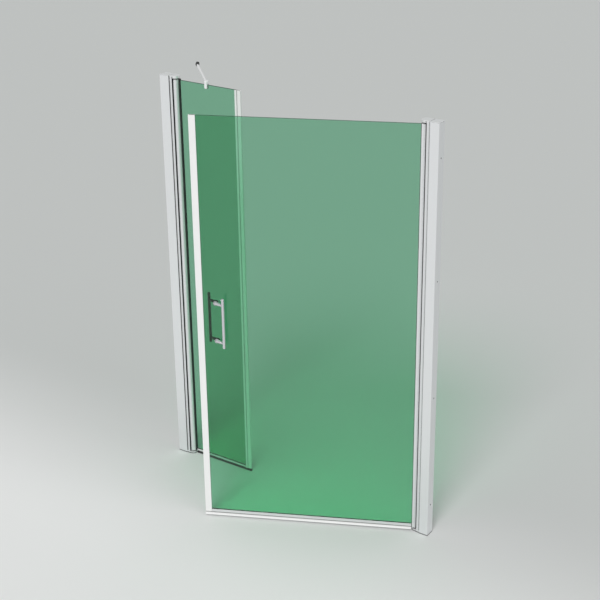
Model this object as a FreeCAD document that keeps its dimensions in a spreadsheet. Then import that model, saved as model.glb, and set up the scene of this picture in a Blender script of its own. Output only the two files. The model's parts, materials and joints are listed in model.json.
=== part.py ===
import FreeCAD, Part
import operator
import os
import Sketcher

# Pivot shower door with a fixed glass panel beside it, closing an opening between two walls.
# Row frame: the origin is on the pivot axis at tray level, +X points to the hinge-side wall,
# +Y points into the shower and +Z up. All sizes are millimetres and degrees.

Vector = FreeCAD.Vector
Rotation = FreeCAD.Rotation
UP = Vector(0, 0, 1)

SIZES = [
    ("Opening and pose",),
    ("opening_width", 1400.0, "wall to wall"),
    ("overall_height", 1900.0, "tray to the top of the caps"),
    ("open_angle", 24.89, "how far the leaf stands open"),
    ("seat_gap", 0.3, "room between pieces that are pushed together"),
    ("fit_gap", 0.05, "radial room of a pin in its bore"),
    ("Wall channels",),
    ("hinge_wall", 70.0, "pivot axis to the wall behind it"),
    ("panel_wall", 72.0, "column axis to the wall behind it"),
    ("hinge_reach", 42.0, "depth of the hinge-side channel"),
    ("panel_reach", 50.0, "depth of the panel-side channel"),
    ("channel_half", 22.5, "half the width of a channel"),
    ("channel_skin", 2.2, "wall of a channel"),
    ("cover_plate", 3.0, "thickness of a channel cap"),
    ("fixing_radius", 3.0, "holes for the wall screws"),
    ("fixing_end", 150.0, "outer wall screws to the ends of the height"),
    ("fixing_inner", 540.0, "between the inner two wall screws"),
    ("cover_plug", 8.0, "how deep a channel cap reaches in"),
    ("Posts",),
    ("post_half", 20.0, "half the width of a post"),
    ("post_skin", 1.8, "wall of a post"),
    ("post_web", 17.5, "axis to the web between the lips"),
    ("post_back", 58.0, "axis to the back of a post"),
    ("post_foot", 3.0, "lower end of a post, and plate of a base"),
    ("hinge_lip", 12.5, "axis to the lips of the hinge post"),
    ("panel_lip", 7.0, "axis to the lips of the panel post"),
    ("post_screw_x", 40.0, "axis to the screws that lock a post"),
    ("post_screw_end", 200.0, "outer locking screws to the ends of the height"),
    ("post_screw_radius", 1.9, "shank of a locking screw"),
    ("post_screw_reach", 7.0, "shank length under the head"),
    ("post_screw_head", 3.6, "head radius of a locking screw"),
    ("post_screw_rise", 2.0, "head height of a locking screw"),
    ("Caps and bases",),
    ("cap_radius", 19.0, "round nose of a top cap"),
    ("cap_plate", 4.0, "plate of a top cap over the post"),
    ("cap_skirt", 7.0, "depth of a top cap below its plate"),
    ("base_radius", 17.5, "round nose of a bottom base"),
    ("base_rise", 9.0, "height of a bottom base"),
    ("plug_depth", 15.0, "how far caps and bases reach into a post"),
    ("plug_width", 7.8, "thickness of that plug"),
    ("cap_edge", 0.8, "bevel of the cap's upper edge"),
    ("pin_radius", 4.0, "pivot pins"),
    ("pin_reach", 22.0, "pivot pins inside the tube's ends"),
    ("washer_radius", 10.5, "thrust washers"),
    ("Stile and column",),
    ("tube_radius", 16.0, "round tube of stile and column"),
    ("tube_skin", 1.8, "wall of that tube"),
    ("tube_clear", 5.0, "tube to the cap above and the base below"),
    ("jaw_skin", 1.8, "wall of the glazing jaws"),
    ("jaw_reach", 17.5, "axis to the front of the jaws"),
    ("slot_floor", 9.0, "axis to the floor of the glazing slot"),
    ("floor_skin", 1.6, "wall of that floor"),
    ("end_plug", 30.0, "length of the end plugs"),
    ("plug_gap", 0.15, "room around an end plug"),
    ("bush_radius", 6.0, "outside of a pivot bush"),
    ("bush_length", 26.0, "length of a pivot bush"),
    ("Glass and gaskets",),
    ("glass_offset", 8.0, "axis plane to the middle of the glass"),
    ("glass_half", 3.0, "half the glass thickness"),
    ("gasket_skin", 1.0, "gasket between glass and jaw"),
    ("gasket_reach", 19.6, "axis to the front of the gasket lips"),
    ("lip_root", 4.8, "half width of the gasket lips at the jaws"),
    ("lip_tip", 4.2, "half width of the gasket lips in front"),
    ("door_top_drop", 0.7, "top of the tube to the top of the door glass"),
    ("panel_top_drop", 5.0, "top of the tube to the top of the fixed glass"),
    ("Closing edges",),
    ("edge_lap", 45.8, "how far the door laps the panel when closed"),
    ("door_strip", 28.7, "width of the door's edge seal"),
    ("panel_far", 347.0, "column axis to the panel's free edge"),
    ("panel_strip", 30.0, "width of the panel's edge seal"),
    ("strip_nose", 3.8, "seal beyond the glass edge"),
    ("strip_skin", 1.4, "legs of an edge seal"),
    ("strip_bevel", 1.0, "bevelled corners of an edge seal"),
    ("magnet_back", 22.3, "closing edge to the middle of its magnet"),
    ("magnet_width", 8.2, "magnet strip"),
    ("magnet_thick", 1.6, "magnet strip"),
    ("magnet_room", 0.1, "room around a magnet strip"),
    ("pocket_skin", 0.7, "walls of the magnet pocket"),
    ("meeting_gap", 1.0, "between the two magnet pockets, door closed"),
    ("magnet_inset", 2.0, "magnet short of the seal's ends"),
    ("Bottom rails and seals",),
    ("rail_half", 5.0, "half the thickness of a rail"),
    ("rail_room", 0.2, "room beside the glass in a rail"),
    ("rail_near", 20.5, "axis to the near end of a rail"),
    ("door_rail_low", 20.2, "underside of the door rail"),
    ("door_rail_top", 33.7, "top of the door rail"),
    ("door_rail_web", 4.3, "bottom of the door rail below the glass"),
    ("panel_rail_low", 12.5, "underside of the panel rail"),
    ("panel_rail_top", 22.4, "top of the panel rail"),
    ("panel_rail_web", 2.5, "bottom of the panel rail below the glass"),
    ("key_neck", 1.2, "half width of the groove's mouth"),
    ("key_neck_rise", 1.2, "depth of that mouth"),
    ("key_head", 2.2, "half width of the groove inside"),
    ("key_head_rise", 1.8, "height of the groove inside"),
    ("drip_low", 7.0, "lower edge of the drip seal"),
    ("drip_shoulder", 4.6, "half width of the drip seal under the rail"),
    ("drip_waist", 5.5, "half width where its fins begin"),
    ("drip_waist_rise", 7.0, "height of its fins"),
    ("drip_inner", 8.0, "glass middle to the tip of the inner fin"),
    ("drip_outer", 11.0, "glass middle to the tip of the outer fin"),
    ("drip_fin", 1.5, "thickness of a fin"),
    ("sill_half", 4.5, "half width of the panel's sill seal"),
    ("sill_foot", 6.0, "half width of its foot"),
    ("sill_foot_rise", 3.0, "height of its foot"),
    ("Wiper on the hinge post",),
    ("wiper_root", 1.0, "thickness of its root on the lip"),
    ("wiper_length", 4.5, "length of its root along the lip"),
    ("wiper_fin", 0.9, "thickness of its fin"),
    ("wiper_tip_x", 9.9, "axis to the fin's tip, across"),
    ("wiper_tip_y", 13.5, "axis to the fin's tip, inwards"),
    ("Handles",),
    ("grip_back", 84.3, "closing edge to the handle holes"),
    ("grip_low", 884.0, "lower handle hole"),
    ("grip_high", 1061.0, "upper handle hole"),
    ("grip_hole", 6.0, "radius of the holes in the glass"),
    ("grip_shift", 36.0, "how far a bar stands sideways of its holes"),
    ("grip_stand", 32.0, "middle of the glass to a bar's axis"),
    ("grip_bar_low", 862.0, "lower end of a bar"),
    ("grip_bar_top", 1094.0, "upper end of a bar"),
    ("grip_bar_radius", 6.0, "bar"),
    ("grip_bar_edge", 1.0, "bevel of a bar's ends"),
    ("grip_foot_radius", 10.0, "round foot on the glass"),
    ("grip_foot", 5.0, "thickness of a foot"),
    ("grip_washer", 1.0, "washer between foot and glass"),
    ("grip_arm_root", 8.0, "radius of an arm at its foot"),
    ("grip_arm_tip", 4.5, "radius of an arm at its bar"),
    ("grip_stud", 4.0, "radius of the stud through the glass"),
    ("Brace",),
    ("brace_drop", 10.5, "top of the caps to the axis of the brace bar"),
    ("brace_clamp_x", 235.0, "wall to the clamp's axis"),
    ("brace_bar_radius", 5.5, "bar"),
    ("brace_bar_start", 12.0, "wall point of the axis to the bar's end"),
    ("brace_bar_end", 4.0, "bar's other end to the clamp's axis"),
    ("brace_flange_radius", 10.0, "wall flange"),
    ("brace_flange_rise", 6.0, "thickness of the wall flange"),
    ("brace_socket_radius", 8.0, "socket around the bar"),
    ("brace_socket_end", 24.0, "wall point of the axis to the socket's end"),
    ("brace_screw", 2.5, "radius of the hole for its wall screw"),
    ("brace_screw_depth", 7.0, "depth of that hole"),
    ("clamp_radius", 10.0, "glass clamp"),
    ("clamp_grip", 18.0, "how far the clamp reaches down the glass"),
    ("clamp_rise", 2.0, "clamp above the bar"),
    ("clamp_bevel", 2.5, "bevel of the clamp's ends"),
    ("liner_skin", 1.0, "liner between clamp and glass"),
    ("liner_half", 8.8, "half the liner's width"),
]

DOC = FreeCAD.newDocument("shower_door")
PIECES = []


class Size:
    """A number together with the sheet expression that gives it."""

    def __init__(self, value, text):
        self.value = value
        self.text = text

    def __add__(self, other):
        return combined(self, "+", other)

    def __radd__(self, other):
        return combined(other, "+", self)

    def __sub__(self, other):
        return combined(self, "-", other)

    def __rsub__(self, other):
        return combined(other, "-", self)

    def __mul__(self, other):
        return combined(self, "*", other)

    def __truediv__(self, other):
        return combined(self, "/", other)

    def __neg__(self):
        return Size(-self.value, "(-" + self.text + ")")


OPERATORS = {"+": operator.add, "-": operator.sub, "*": operator.mul, "/": operator.truediv}


def size_of(number):
    """Plain numbers become sizes of their own."""
    if isinstance(number, Size):
        return number
    return Size(float(number), "(" + repr(float(number)) + ")")


def combined(first, sign, second):
    first = size_of(first)
    second = size_of(second)
    value = OPERATORS[sign](first.value, second.value)
    return Size(value, "(" + first.text + " " + sign + " " + second.text + ")")


class Sheet:
    """The spreadsheet of sizes; every size is also an attribute of this object."""

    def __init__(self):
        cells = DOC.addObject("Spreadsheet::Sheet", "Sizes")
        for number, row in enumerate(SIZES, start=1):
            cells.set("A%d" % number, row[0].replace("_", " "))
            if len(row) > 1:
                cells.set("B%d" % number, repr(row[1]))
                cells.setAlias("B%d" % number, row[0])
                cells.set("C%d" % number, row[2])
                setattr(self, row[0], Size(row[1], "Sizes." + row[0]))


S = Sheet()


def bind(item, name, size):
    """Tie one property to its sheet expression."""
    item.setExpression(name, size_of(size).text)


def is_zero(number):
    return not isinstance(number, Size) and number == 0


class Place:
    """Where a group of pieces stands: a turn about the vertical, then a shift along X."""

    def __init__(self, turn=0, shift=0):
        self.turn = size_of(turn)
        self.shift = size_of(shift)

    def put(self, piece):
        base = Vector(self.shift.value, 0, 0)
        piece.Placement = FreeCAD.Placement(base, Rotation(UP, self.turn.value))
        if self.turn.value:
            bind(piece, "Placement.Rotation.Angle", self.turn)
        bind(piece, "Placement.Base.x", self.shift)


QUARTER_TURN = 90
HALF_TURN = 180
COLUMN_LINE = S.opening_width - S.hinge_wall - S.panel_wall
DOOR_FAR = COLUMN_LINE - S.panel_far + S.edge_lap
GRIP_LINE = DOOR_FAR - S.grip_back
CHANNEL_TOP = S.overall_height - S.cover_plate
POST_TOP = S.overall_height - S.cap_plate
CAP_UNDER = POST_TOP - S.cap_skirt
TUBE_TOP = CAP_UNDER - S.tube_clear
TUBE_LOW = S.base_rise + S.tube_clear
PANEL_TOP = TUBE_TOP - S.panel_top_drop
BRACE_HEIGHT = S.overall_height - S.brace_drop


class Free:
    """For pieces that are already drawn where they belong."""

    def put(self, piece):
        return piece


FREE = Free()
FIXED = Place()
LEAF = Place(turn=S.open_angle)
PANEL = Place(turn=HALF_TURN, shift=-COLUMN_LINE)


class Piece:
    """A body of pads and pockets; the sketches are held by sheet sizes."""

    def __init__(self, label, place, finished=True):
        self.body = DOC.addObject("PartDesign::Body", label)
        self.body.Label = label
        self.planes = {item.Role: item for item in self.body.Origin.OriginFeatures}
        place.put(self.body)
        if finished:
            PIECES.append(self.body)

    def sketch(self, plane, offset):
        sketch = self.body.newObject("Sketcher::SketchObject", self.body.Name + "_sketch")
        sketch.AttachmentSupport = [(self.planes[plane + "_Plane"], "")]
        sketch.MapMode = "FlatFace"
        bind(sketch, "AttachmentOffset.Base.z", offset)
        return sketch

    def feature(self, kind, sketch, length):
        item = self.body.newObject("PartDesign::" + kind, self.body.Name + "_" + kind.lower())
        item.Profile = sketch
        bind(item, "Length", length)
        sketch.Visibility = False
        return item

    def pad(self, points, low, high, plane="XY"):
        """A straight prism over a closed outline."""
        sketch = self.sketch(plane, low)
        outline(sketch, points)
        return self.feature("Pad", sketch, high - low)

    def pocket(self, points, low, high, plane="XY"):
        sketch = self.sketch(plane, high)
        outline(sketch, points)
        return self.feature("Pocket", sketch, high - low)

    def disc(self, radius, low, high, hole=None, centre=(0, 0)):
        """A round plate or bar on an upright axis, with a hole when one is named."""
        sketch = self.sketch("XY", low)
        circle(sketch, centre[0], centre[1], radius)
        if hole is not None:
            circle(sketch, centre[0], centre[1], hole)
        return self.feature("Pad", sketch, high - low)

    def bore(self, plane, centres, radius, low, high):
        """Round holes square to a plane: XY runs along Z, YZ along X and XZ along Y."""
        start = -low if plane == "XZ" else high
        sketch = self.sketch(plane, start)
        for across, up in centres:
            circle(sketch, across, up, radius)
        return self.feature("Pocket", sketch, high - low)

    def bevel(self, amount, wanted):
        """Chamfer the edges of the latest feature that the test picks."""
        DOC.recompute()
        last = self.body.Tip
        edges = last.Shape.Edges
        names = ["Edge%d" % (i + 1) for i, edge in enumerate(edges) if wanted(edge.BoundBox)]
        item = self.body.newObject("PartDesign::Chamfer", self.body.Name + "_bevel")
        item.Base = (last, names)
        bind(item, "Size", amount)
        return item


def outline(sketch, points):
    """A closed loop of straight lines whose corners are held from the origin."""
    sized = [(size_of(x).value, size_of(y).value) for x, y in points]
    first = sketch.GeometryCount
    count = len(points)
    for number, (x, y) in enumerate(sized):
        end_x, end_y = sized[(number + 1) % count]
        sketch.addGeometry(Part.LineSegment(Vector(x, y, 0), Vector(end_x, end_y, 0)))
    for number in range(count):
        after = first + (number + 1) % count
        sketch.addConstraint(Sketcher.Constraint("Coincident", first + number, 2, after, 1))
    for number, (x, y) in enumerate(points):
        hold_point(sketch, first + number, 1, x, y)


def hold_point(sketch, geometry, position, x, y):
    """Hold one sketch point at named distances from the sketch's origin."""
    for kind, axis, distance in (("DistanceX", -2, x), ("DistanceY", -1, y)):
        if is_zero(distance):
            sketch.addConstraint(Sketcher.Constraint("PointOnObject", geometry, position, axis))
        else:
            value = size_of(distance).value
            rule = Sketcher.Constraint(kind, -1, 1, geometry, position, value)
            bind(sketch, "Constraints[%d]" % sketch.addConstraint(rule), distance)


def circle(sketch, x, y, radius):
    centre = Vector(size_of(x).value, size_of(y).value, 0)
    number = sketch.addGeometry(Part.Circle(centre, UP, size_of(radius).value))
    hold_point(sketch, number, 3, x, y)
    rule = sketch.addConstraint(Sketcher.Constraint("Radius", number, size_of(radius).value))
    bind(sketch, "Constraints[%d]" % rule, radius)


def tube_cavity(sketch, radius, step_x, step_y):
    """The hollow of stile and column: a circle less the corner that holds the glazing slot."""
    across = (radius.value ** 2 - step_y.value ** 2) ** 0.5
    drop = (radius.value ** 2 - step_x.value ** 2) ** 0.5
    upper = Vector(-across, -step_y.value, 0)
    inner = Vector(-step_x.value, -step_y.value, 0)
    lower = Vector(-step_x.value, -drop, 0)
    round_side = Part.Arc(lower, Vector(radius.value, 0, 0), upper)
    sketch.addGeometry(round_side)
    sketch.addGeometry(Part.LineSegment(upper, inner))
    sketch.addGeometry(Part.LineSegment(inner, lower))
    sketch.addConstraint(Sketcher.Constraint("Coincident", 0, 3, -1, 1))
    sketch.addConstraint(Sketcher.Constraint("Coincident", 0, 2, 1, 1))
    sketch.addConstraint(Sketcher.Constraint("Coincident", 1, 2, 2, 1))
    sketch.addConstraint(Sketcher.Constraint("Coincident", 2, 2, 0, 1))
    sketch.addConstraint(Sketcher.Constraint("Horizontal", 1))
    sketch.addConstraint(Sketcher.Constraint("Vertical", 2))
    rule = sketch.addConstraint(Sketcher.Constraint("Radius", 0, radius.value))
    bind(sketch, "Constraints[%d]" % rule, radius)
    hold_point(sketch, 2, 1, -step_x, -step_y)


def level_edge(box):
    """True for an edge that lies level, such as the rim of an upright bar."""
    return box.ZLength < 0.01


def box_points(left, right, near, far):
    return [(left, near), (right, near), (right, far), (left, far)]


# ---- simple solids for the pieces that run across or at a slant ----

def cylinder(name, radius, length, x, y, z, yaw=None, pitch=0):
    """A round bar from a point: upright, or tipped by pitch and turned by yaw."""
    item = DOC.addObject("Part::Cylinder", name)
    bind(item, "Radius", radius)
    bind(item, "Height", length)
    return stand(item, x, y, z, yaw, pitch)


def cone(name, root, tip, length, x, y, z, yaw, pitch):
    item = DOC.addObject("Part::Cone", name)
    bind(item, "Radius1", root)
    bind(item, "Radius2", tip)
    bind(item, "Height", length)
    return stand(item, x, y, z, yaw, pitch)


def block(name, x0, x1, y0, y1, z0, z1):
    item = DOC.addObject("Part::Box", name)
    bind(item, "Length", size_of(x1) - x0)
    bind(item, "Width", size_of(y1) - y0)
    bind(item, "Height", size_of(z1) - z0)
    return stand(item, x0, y0, z0)


def stand(item, x, y, z, yaw=None, pitch=0):
    """Bind a solid's place to the sheet."""
    x, y, z = size_of(x), size_of(y), size_of(z)
    turn = size_of(0 if yaw is None else yaw)
    parts = (x.text, y.text, z.text, turn.text, size_of(pitch).text)
    text = "placement(vector(%s; %s; %s); rotation(%s; %s; 0))" % parts
    item.setExpression("Placement", text)
    item.Visibility = False
    return item


def fused(name, shapes):
    item = DOC.addObject("Part::MultiFuse", name)
    item.Shapes = shapes
    return item


def cut(name, base, tools):
    item = DOC.addObject("Part::Cut", name)
    item.Base = base
    item.Tool = tools[0] if len(tools) == 1 else fused(name + "_tools", tools)
    return item


def group(name, shapes):
    item = DOC.addObject("Part::Compound", name)
    item.Links = shapes
    return item


def finish(item, label, place):
    item.Label = label
    place.put(item)
    PIECES.append(item)
    return item


# ---- the two wall sides: the hinge side and the panel side share their profiles ----

class Side:
    """One wall side. Its X runs from the axis to the wall; inner is the sign of its wet side."""

    def __init__(self, name, place, wall, reach, lip, inner):
        self.name = name
        self.place = place
        self.wall = wall
        self.front = wall - reach
        self.lip = lip
        self.inner = inner

    def piece(self, label):
        return Piece(self.name + "_" + label, self.place)


HINGE_SIDE = Side("hinge", FIXED, S.hinge_wall, S.hinge_reach, S.hinge_lip, 1)
PANEL_SIDE = Side("panel", PANEL, S.panel_wall, S.panel_reach, S.panel_lip, -1)
SCREW_SPREAD = S.overall_height / 2 - S.post_screw_end
SCREW_HEIGHTS = [S.overall_height / 2 + SCREW_SPREAD * step for step in (-1, 0, 1)]


def wall_channel(side):
    """U-shaped channel screwed to the wall, open towards the door."""
    half = S.channel_half
    inside = half - S.channel_skin
    floor = side.wall - S.channel_skin
    piece = side.piece("wall_channel")
    piece.pad([(side.front, -half), (side.wall, -half), (side.wall, half), (side.front, half),
               (side.front, inside), (floor, inside), (floor, -inside), (side.front, -inside)],
              size_of(0), CHANNEL_TOP)
    middle = S.overall_height / 2
    heights = [middle + spread * sign
               for spread in (middle - S.fixing_end, S.fixing_inner / 2) for sign in (-1, 1)]
    piece.bore("YZ", [(0, height) for height in heights], S.fixing_radius, floor, side.wall)
    lock = [(S.post_screw_x, height) for height in SCREW_HEIGHTS]
    faces = (inside, half) if side.inner > 0 else (-half, -inside)
    piece.bore("XZ", lock, S.post_screw_radius + S.fit_gap, faces[0], faces[1])


def channel_cap(side):
    """Cover on the channel's upper end, with a plug behind the post."""
    half = S.channel_half
    piece = side.piece("channel_cap")
    piece.pad(box_points(side.front, side.wall, -half, half), CHANNEL_TOP, S.overall_height)
    room = S.seat_gap
    inside = half - S.channel_skin - room
    piece.pad(box_points(S.post_back + room, side.wall - S.channel_skin - room, -inside, inside),
              CHANNEL_TOP - S.cover_plug, CHANNEL_TOP)
    piece.bevel(S.cap_edge, lambda box: box.ZMin > S.overall_height.value - 0.01)


def post(side):
    """Telescoping post: a closed box behind a web, and two lips that shelter the tube."""
    half = S.post_half
    inside = half - S.post_skin
    piece = side.piece("post")
    piece.pad([(side.lip, -half), (S.post_back, -half), (S.post_back, half), (side.lip, half),
               (side.lip, inside), (S.post_web, inside), (S.post_web, -inside), (side.lip, -inside)],
              S.post_foot, POST_TOP)
    piece.pocket(box_points(S.post_web + S.post_skin, S.post_back - S.post_skin, -inside, inside),
                 S.post_foot, POST_TOP)
    lock = [(S.post_screw_x, height) for height in SCREW_HEIGHTS]
    faces = (inside, half) if side.inner > 0 else (-half, -inside)
    piece.bore("XZ", lock, S.post_screw_radius + S.fit_gap, faces[0], faces[1])


def post_screws(side):
    """Three screws through channel and post, from the wet side."""
    screws = []
    sign = side.inner
    for height in SCREW_HEIGHTS:
        face = S.channel_half * sign
        yaw = QUARTER_TURN * sign
        head = cylinder(side.name + "_screw_head", S.post_screw_head, S.post_screw_rise,
                        S.post_screw_x, face, height, yaw, QUARTER_TURN)
        shank = cylinder(side.name + "_screw_shank", S.post_screw_radius, S.post_screw_reach,
                         S.post_screw_x, face, height, -yaw, QUARTER_TURN)
        screws.append(fused(side.name + "_screw", [head, shank]))
    finish(group(side.name + "_post_screws", screws), side.name + "_post_screws", side.place)


def nose_block(piece, side, radius, low, high, plate_low, plate_high, plug_low, plug_high):
    """The common form of caps and bases: round nose, neck, plate over the post and plug."""
    neck = S.post_half - S.post_skin - S.seat_gap
    neck_end = S.post_web - S.seat_gap
    plate_end = side.front - S.seat_gap
    plug_start = S.post_web + S.post_skin + S.seat_gap
    piece.disc(radius, low, high)
    piece.pocket(box_points(neck_end, S.post_back, -S.post_half, S.post_half), low, high)
    piece.pad(box_points(size_of(0), neck_end, -neck, neck), low, high)
    piece.disc(radius, plate_low, plate_high)
    piece.pad([(0, -radius), (side.lip, -S.post_half), (plate_end, -S.post_half),
               (plate_end, S.post_half), (side.lip, S.post_half), (0, radius)],
              plate_low, plate_high)
    piece.pad(box_points(plug_start, plug_start + S.plug_width, -neck, neck), plug_low, plug_high)


def top_cap(side):
    """Cap over the post and the tube; its pin carries the leaf's upper end."""
    piece = side.piece("top_cap")
    nose_block(piece, side, S.cap_radius, CAP_UNDER, POST_TOP, POST_TOP, S.overall_height,
               POST_TOP - S.plug_depth, POST_TOP)
    piece.bore("XY", [(0, 0)], S.pin_radius + S.fit_gap, CAP_UNDER, POST_TOP)
    piece.bevel(S.cap_edge, lambda box: box.ZMin > S.overall_height.value - 0.01)


def bottom_base(side):
    """Base under the tube, standing on the tray and plugged into the post's foot."""
    piece = side.piece("bottom_base")
    nose_block(piece, side, S.base_radius, S.post_foot, S.base_rise, size_of(0), S.post_foot,
               S.post_foot, S.post_foot + S.plug_depth)
    piece.bore("XY", [(0, 0)], S.pin_radius + S.fit_gap, S.post_foot, S.base_rise)


def pins(side, word):
    """Pins that stand in cap and base and enter the tube's end plugs."""
    side.piece("top_" + word).disc(S.pin_radius, TUBE_TOP - S.pin_reach, POST_TOP)
    side.piece("bottom_" + word).disc(S.pin_radius, S.post_foot, TUBE_LOW + S.pin_reach)


# ---- what both tubes carry: glass, gasket, seals and rails ----

class Pane:
    """A tube with its glass. X runs from the glass towards the tube, so the glass is at -X."""

    def __init__(self, name, place, tube, far, strip, magnet, top, rail_low, rail_web, rail_top):
        self.name = name
        self.place = place
        self.tube = tube
        self.far = far
        self.strip = strip
        self.magnet = magnet
        self.top = top
        self.rail_low = rail_low
        self.rail_web = rail_web
        self.rail_top = rail_top
        self.glass_low = rail_low + rail_web + S.seat_gap

    def piece(self, label):
        return Piece(self.name + "_" + label, self.place)


DOOR = Pane("door", LEAF, "door_stile", DOOR_FAR, S.door_strip, DOOR_FAR - S.magnet_back,
            TUBE_TOP - S.door_top_drop, S.door_rail_low, S.door_rail_web, S.door_rail_top)
SCREEN = Pane("panel", PANEL, "panel_column", S.panel_far, S.panel_strip,
              S.panel_far - S.edge_lap + S.magnet_back,
              PANEL_TOP, S.panel_rail_low, S.panel_rail_web, S.panel_rail_top)
SLOT_NEAR = S.glass_offset - S.glass_half - S.gasket_skin
SLOT_FAR = S.glass_offset + S.glass_half + S.gasket_skin


def glazing_tube(pane):
    """Round tube with a glazing slot beside its axis plane."""
    near = SLOT_NEAR - S.jaw_skin
    far = SLOT_FAR + S.jaw_skin
    inner = S.slot_floor - S.floor_skin
    piece = Piece(pane.tube, pane.place)
    piece.disc(S.tube_radius, TUBE_LOW, TUBE_TOP)
    piece.pad(box_points(-S.jaw_reach, -inner, -far, -near), TUBE_LOW, TUBE_TOP)
    hollow = piece.sketch("XY", TUBE_TOP)
    tube_cavity(hollow, S.tube_radius - S.tube_skin, inner, near)
    piece.feature("Pocket", hollow, TUBE_TOP - TUBE_LOW)
    piece.pocket(box_points(-S.jaw_reach - S.jaw_skin, -S.slot_floor, -SLOT_FAR, -SLOT_NEAR),
                 TUBE_LOW, TUBE_TOP)


def end_plug(pane, label, low, bore_radius, bore_low):
    """Plug that fills the tube's end and takes the pin or its bush."""
    gap = S.plug_gap
    near = SLOT_NEAR - S.jaw_skin - gap
    inner = S.slot_floor - S.floor_skin - gap
    piece = pane.piece(label)
    body = piece.sketch("XY", low)
    tube_cavity(body, S.tube_radius - S.tube_skin - gap, inner, near)
    piece.feature("Pad", body, S.end_plug)
    piece.bore("XY", [(0, 0)], bore_radius, bore_low, bore_low + S.bush_length)


def gasket(pane):
    """U-shaped gasket that grips the glass edge in the slot."""
    middle = -S.glass_offset
    slot = S.glass_half + S.gasket_skin
    half = S.glass_half
    edge = -(S.slot_floor + S.gasket_skin)
    jaw = -S.jaw_reach
    tip = -S.gasket_reach
    points = [(-S.slot_floor, middle - slot), (jaw, middle - slot), (jaw, middle - S.lip_root),
              (tip, middle - S.lip_tip), (tip, middle - half), (edge, middle - half),
              (edge, middle + half), (tip, middle + half), (tip, middle + S.lip_tip),
              (jaw, middle + S.lip_root), (jaw, middle + slot), (-S.slot_floor, middle + slot)]
    pane.piece("gasket").pad(points, TUBE_LOW, TUBE_TOP)


def glass(pane):
    near = -(S.glass_offset - S.glass_half)
    far = -(S.glass_offset + S.glass_half)
    edge = -(S.slot_floor + S.gasket_skin)
    piece = pane.piece("glass")
    piece.pad(box_points(-(pane.far - S.strip_nose), edge, far, near), pane.glass_low, pane.top)
    return piece


def edge_seal(pane, low):
    """Clip-on seal on the free glass edge, with a pocket for its magnet."""
    middle = -S.glass_offset
    half = S.glass_half
    leg = half + S.strip_skin
    tip = -pane.far
    glass_edge = -(pane.far - S.strip_nose)
    end = -(pane.far - pane.strip)
    bevel = S.strip_bevel
    room = S.magnet_width / 2 + S.magnet_room
    left = -pane.magnet - room
    right = -pane.magnet + room
    face = -S.meeting_gap / 2
    skin = S.pocket_skin
    points = [(tip, middle - leg + bevel), (tip + bevel, middle - leg), (end, middle - leg),
              (end, middle - half), (glass_edge, middle - half), (glass_edge, middle + half),
              (end, middle + half), (end, middle + leg), (right + skin, middle + leg),
              (right + skin, face), (left - skin, face), (left - skin, middle + leg),
              (tip + bevel, middle + leg), (tip, middle + leg - bevel)]
    top = face - skin
    bottom = top - S.magnet_thick - S.magnet_room * 2
    piece = pane.piece("edge_seal")
    piece.pad(points, low, pane.top)
    piece.pocket(box_points(left, right, bottom, top), low, pane.top)
    width = S.magnet_width / 2
    magnet = pane.piece("magnet_strip")
    magnet.pad(box_points(-pane.magnet - width, -pane.magnet + width,
                          bottom + S.magnet_room, top - S.magnet_room),
               low + S.magnet_inset, pane.top - S.magnet_inset)


def bottom_rail(pane, grooved):
    """Rail that holds the glass's lower edge; the door's has a groove for the drip seal."""
    middle = -S.glass_offset
    half = S.rail_half
    inside = S.glass_half + S.rail_room
    low = pane.rail_low
    web = low + pane.rail_web
    top = pane.rail_top
    right = [(half, low), (half, top), (inside, top), (inside, web)]
    left = [(-inside, web), (-inside, top), (-half, top), (-half, low)]
    mouth = low + S.key_neck_rise
    roof = mouth + S.key_head_rise
    groove = [(-S.key_neck, low), (-S.key_neck, mouth), (-S.key_head, mouth), (-S.key_head, roof),
              (S.key_head, roof), (S.key_head, mouth), (S.key_neck, mouth), (S.key_neck, low)]
    points = right + left + (groove if grooved else [])
    far = -(pane.far - pane.strip - S.seat_gap)
    pane.piece("bottom_rail").pad([(middle + across, up) for across, up in points],
                                  far, -S.rail_near, plane="YZ")


def drip_seal():
    """Soft seal in the rail's groove; its two fins spread out above the tray."""
    middle = -S.glass_offset
    room = S.seat_gap / 2
    low = S.drip_low
    rail = S.door_rail_low
    waist = low + S.drip_waist_rise
    neck = S.key_neck - room
    head = S.key_head - room
    key_low = rail + S.key_neck_rise + room
    key_top = key_low + S.key_head_rise - room * 2

    def half(spread):
        return [(S.drip_shoulder, rail), (S.drip_waist, waist), (spread, low),
                (spread - S.drip_fin, low), (S.drip_waist - S.drip_fin * 2, waist)]

    outer = [(-across, up) for across, up in reversed(half(S.drip_outer))]
    key = [(neck, rail), (neck, key_low), (head, key_low), (head, key_top),
           (-head, key_top), (-head, key_low), (-neck, key_low), (-neck, rail)]
    rail_end = -(DOOR_FAR - S.door_strip - S.seat_gap)
    piece = DOOR.piece("drip_seal")
    piece.pad([(middle + across, up) for across, up in half(S.drip_inner) + outer],
              -DOOR_FAR, -S.rail_near, plane="YZ")
    piece.pad([(middle + across, up) for across, up in key], rail_end, -S.rail_near, plane="YZ")


def sill_seal():
    """Soft strip between the panel's rail and the tray."""
    middle = -S.glass_offset
    rise = S.sill_foot_rise
    half = [(S.sill_foot, size_of(0)), (S.sill_foot, rise / 2), (S.sill_half, rise),
            (S.sill_half, S.panel_rail_low)]
    mirrored = [(-across, up) for across, up in reversed(half)]
    points = [(middle + across, 0 if up.value == 0 else up) for across, up in half + mirrored]
    SCREEN.piece("bottom_seal").pad(points, -S.panel_far, -S.rail_near, plane="YZ")


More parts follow.
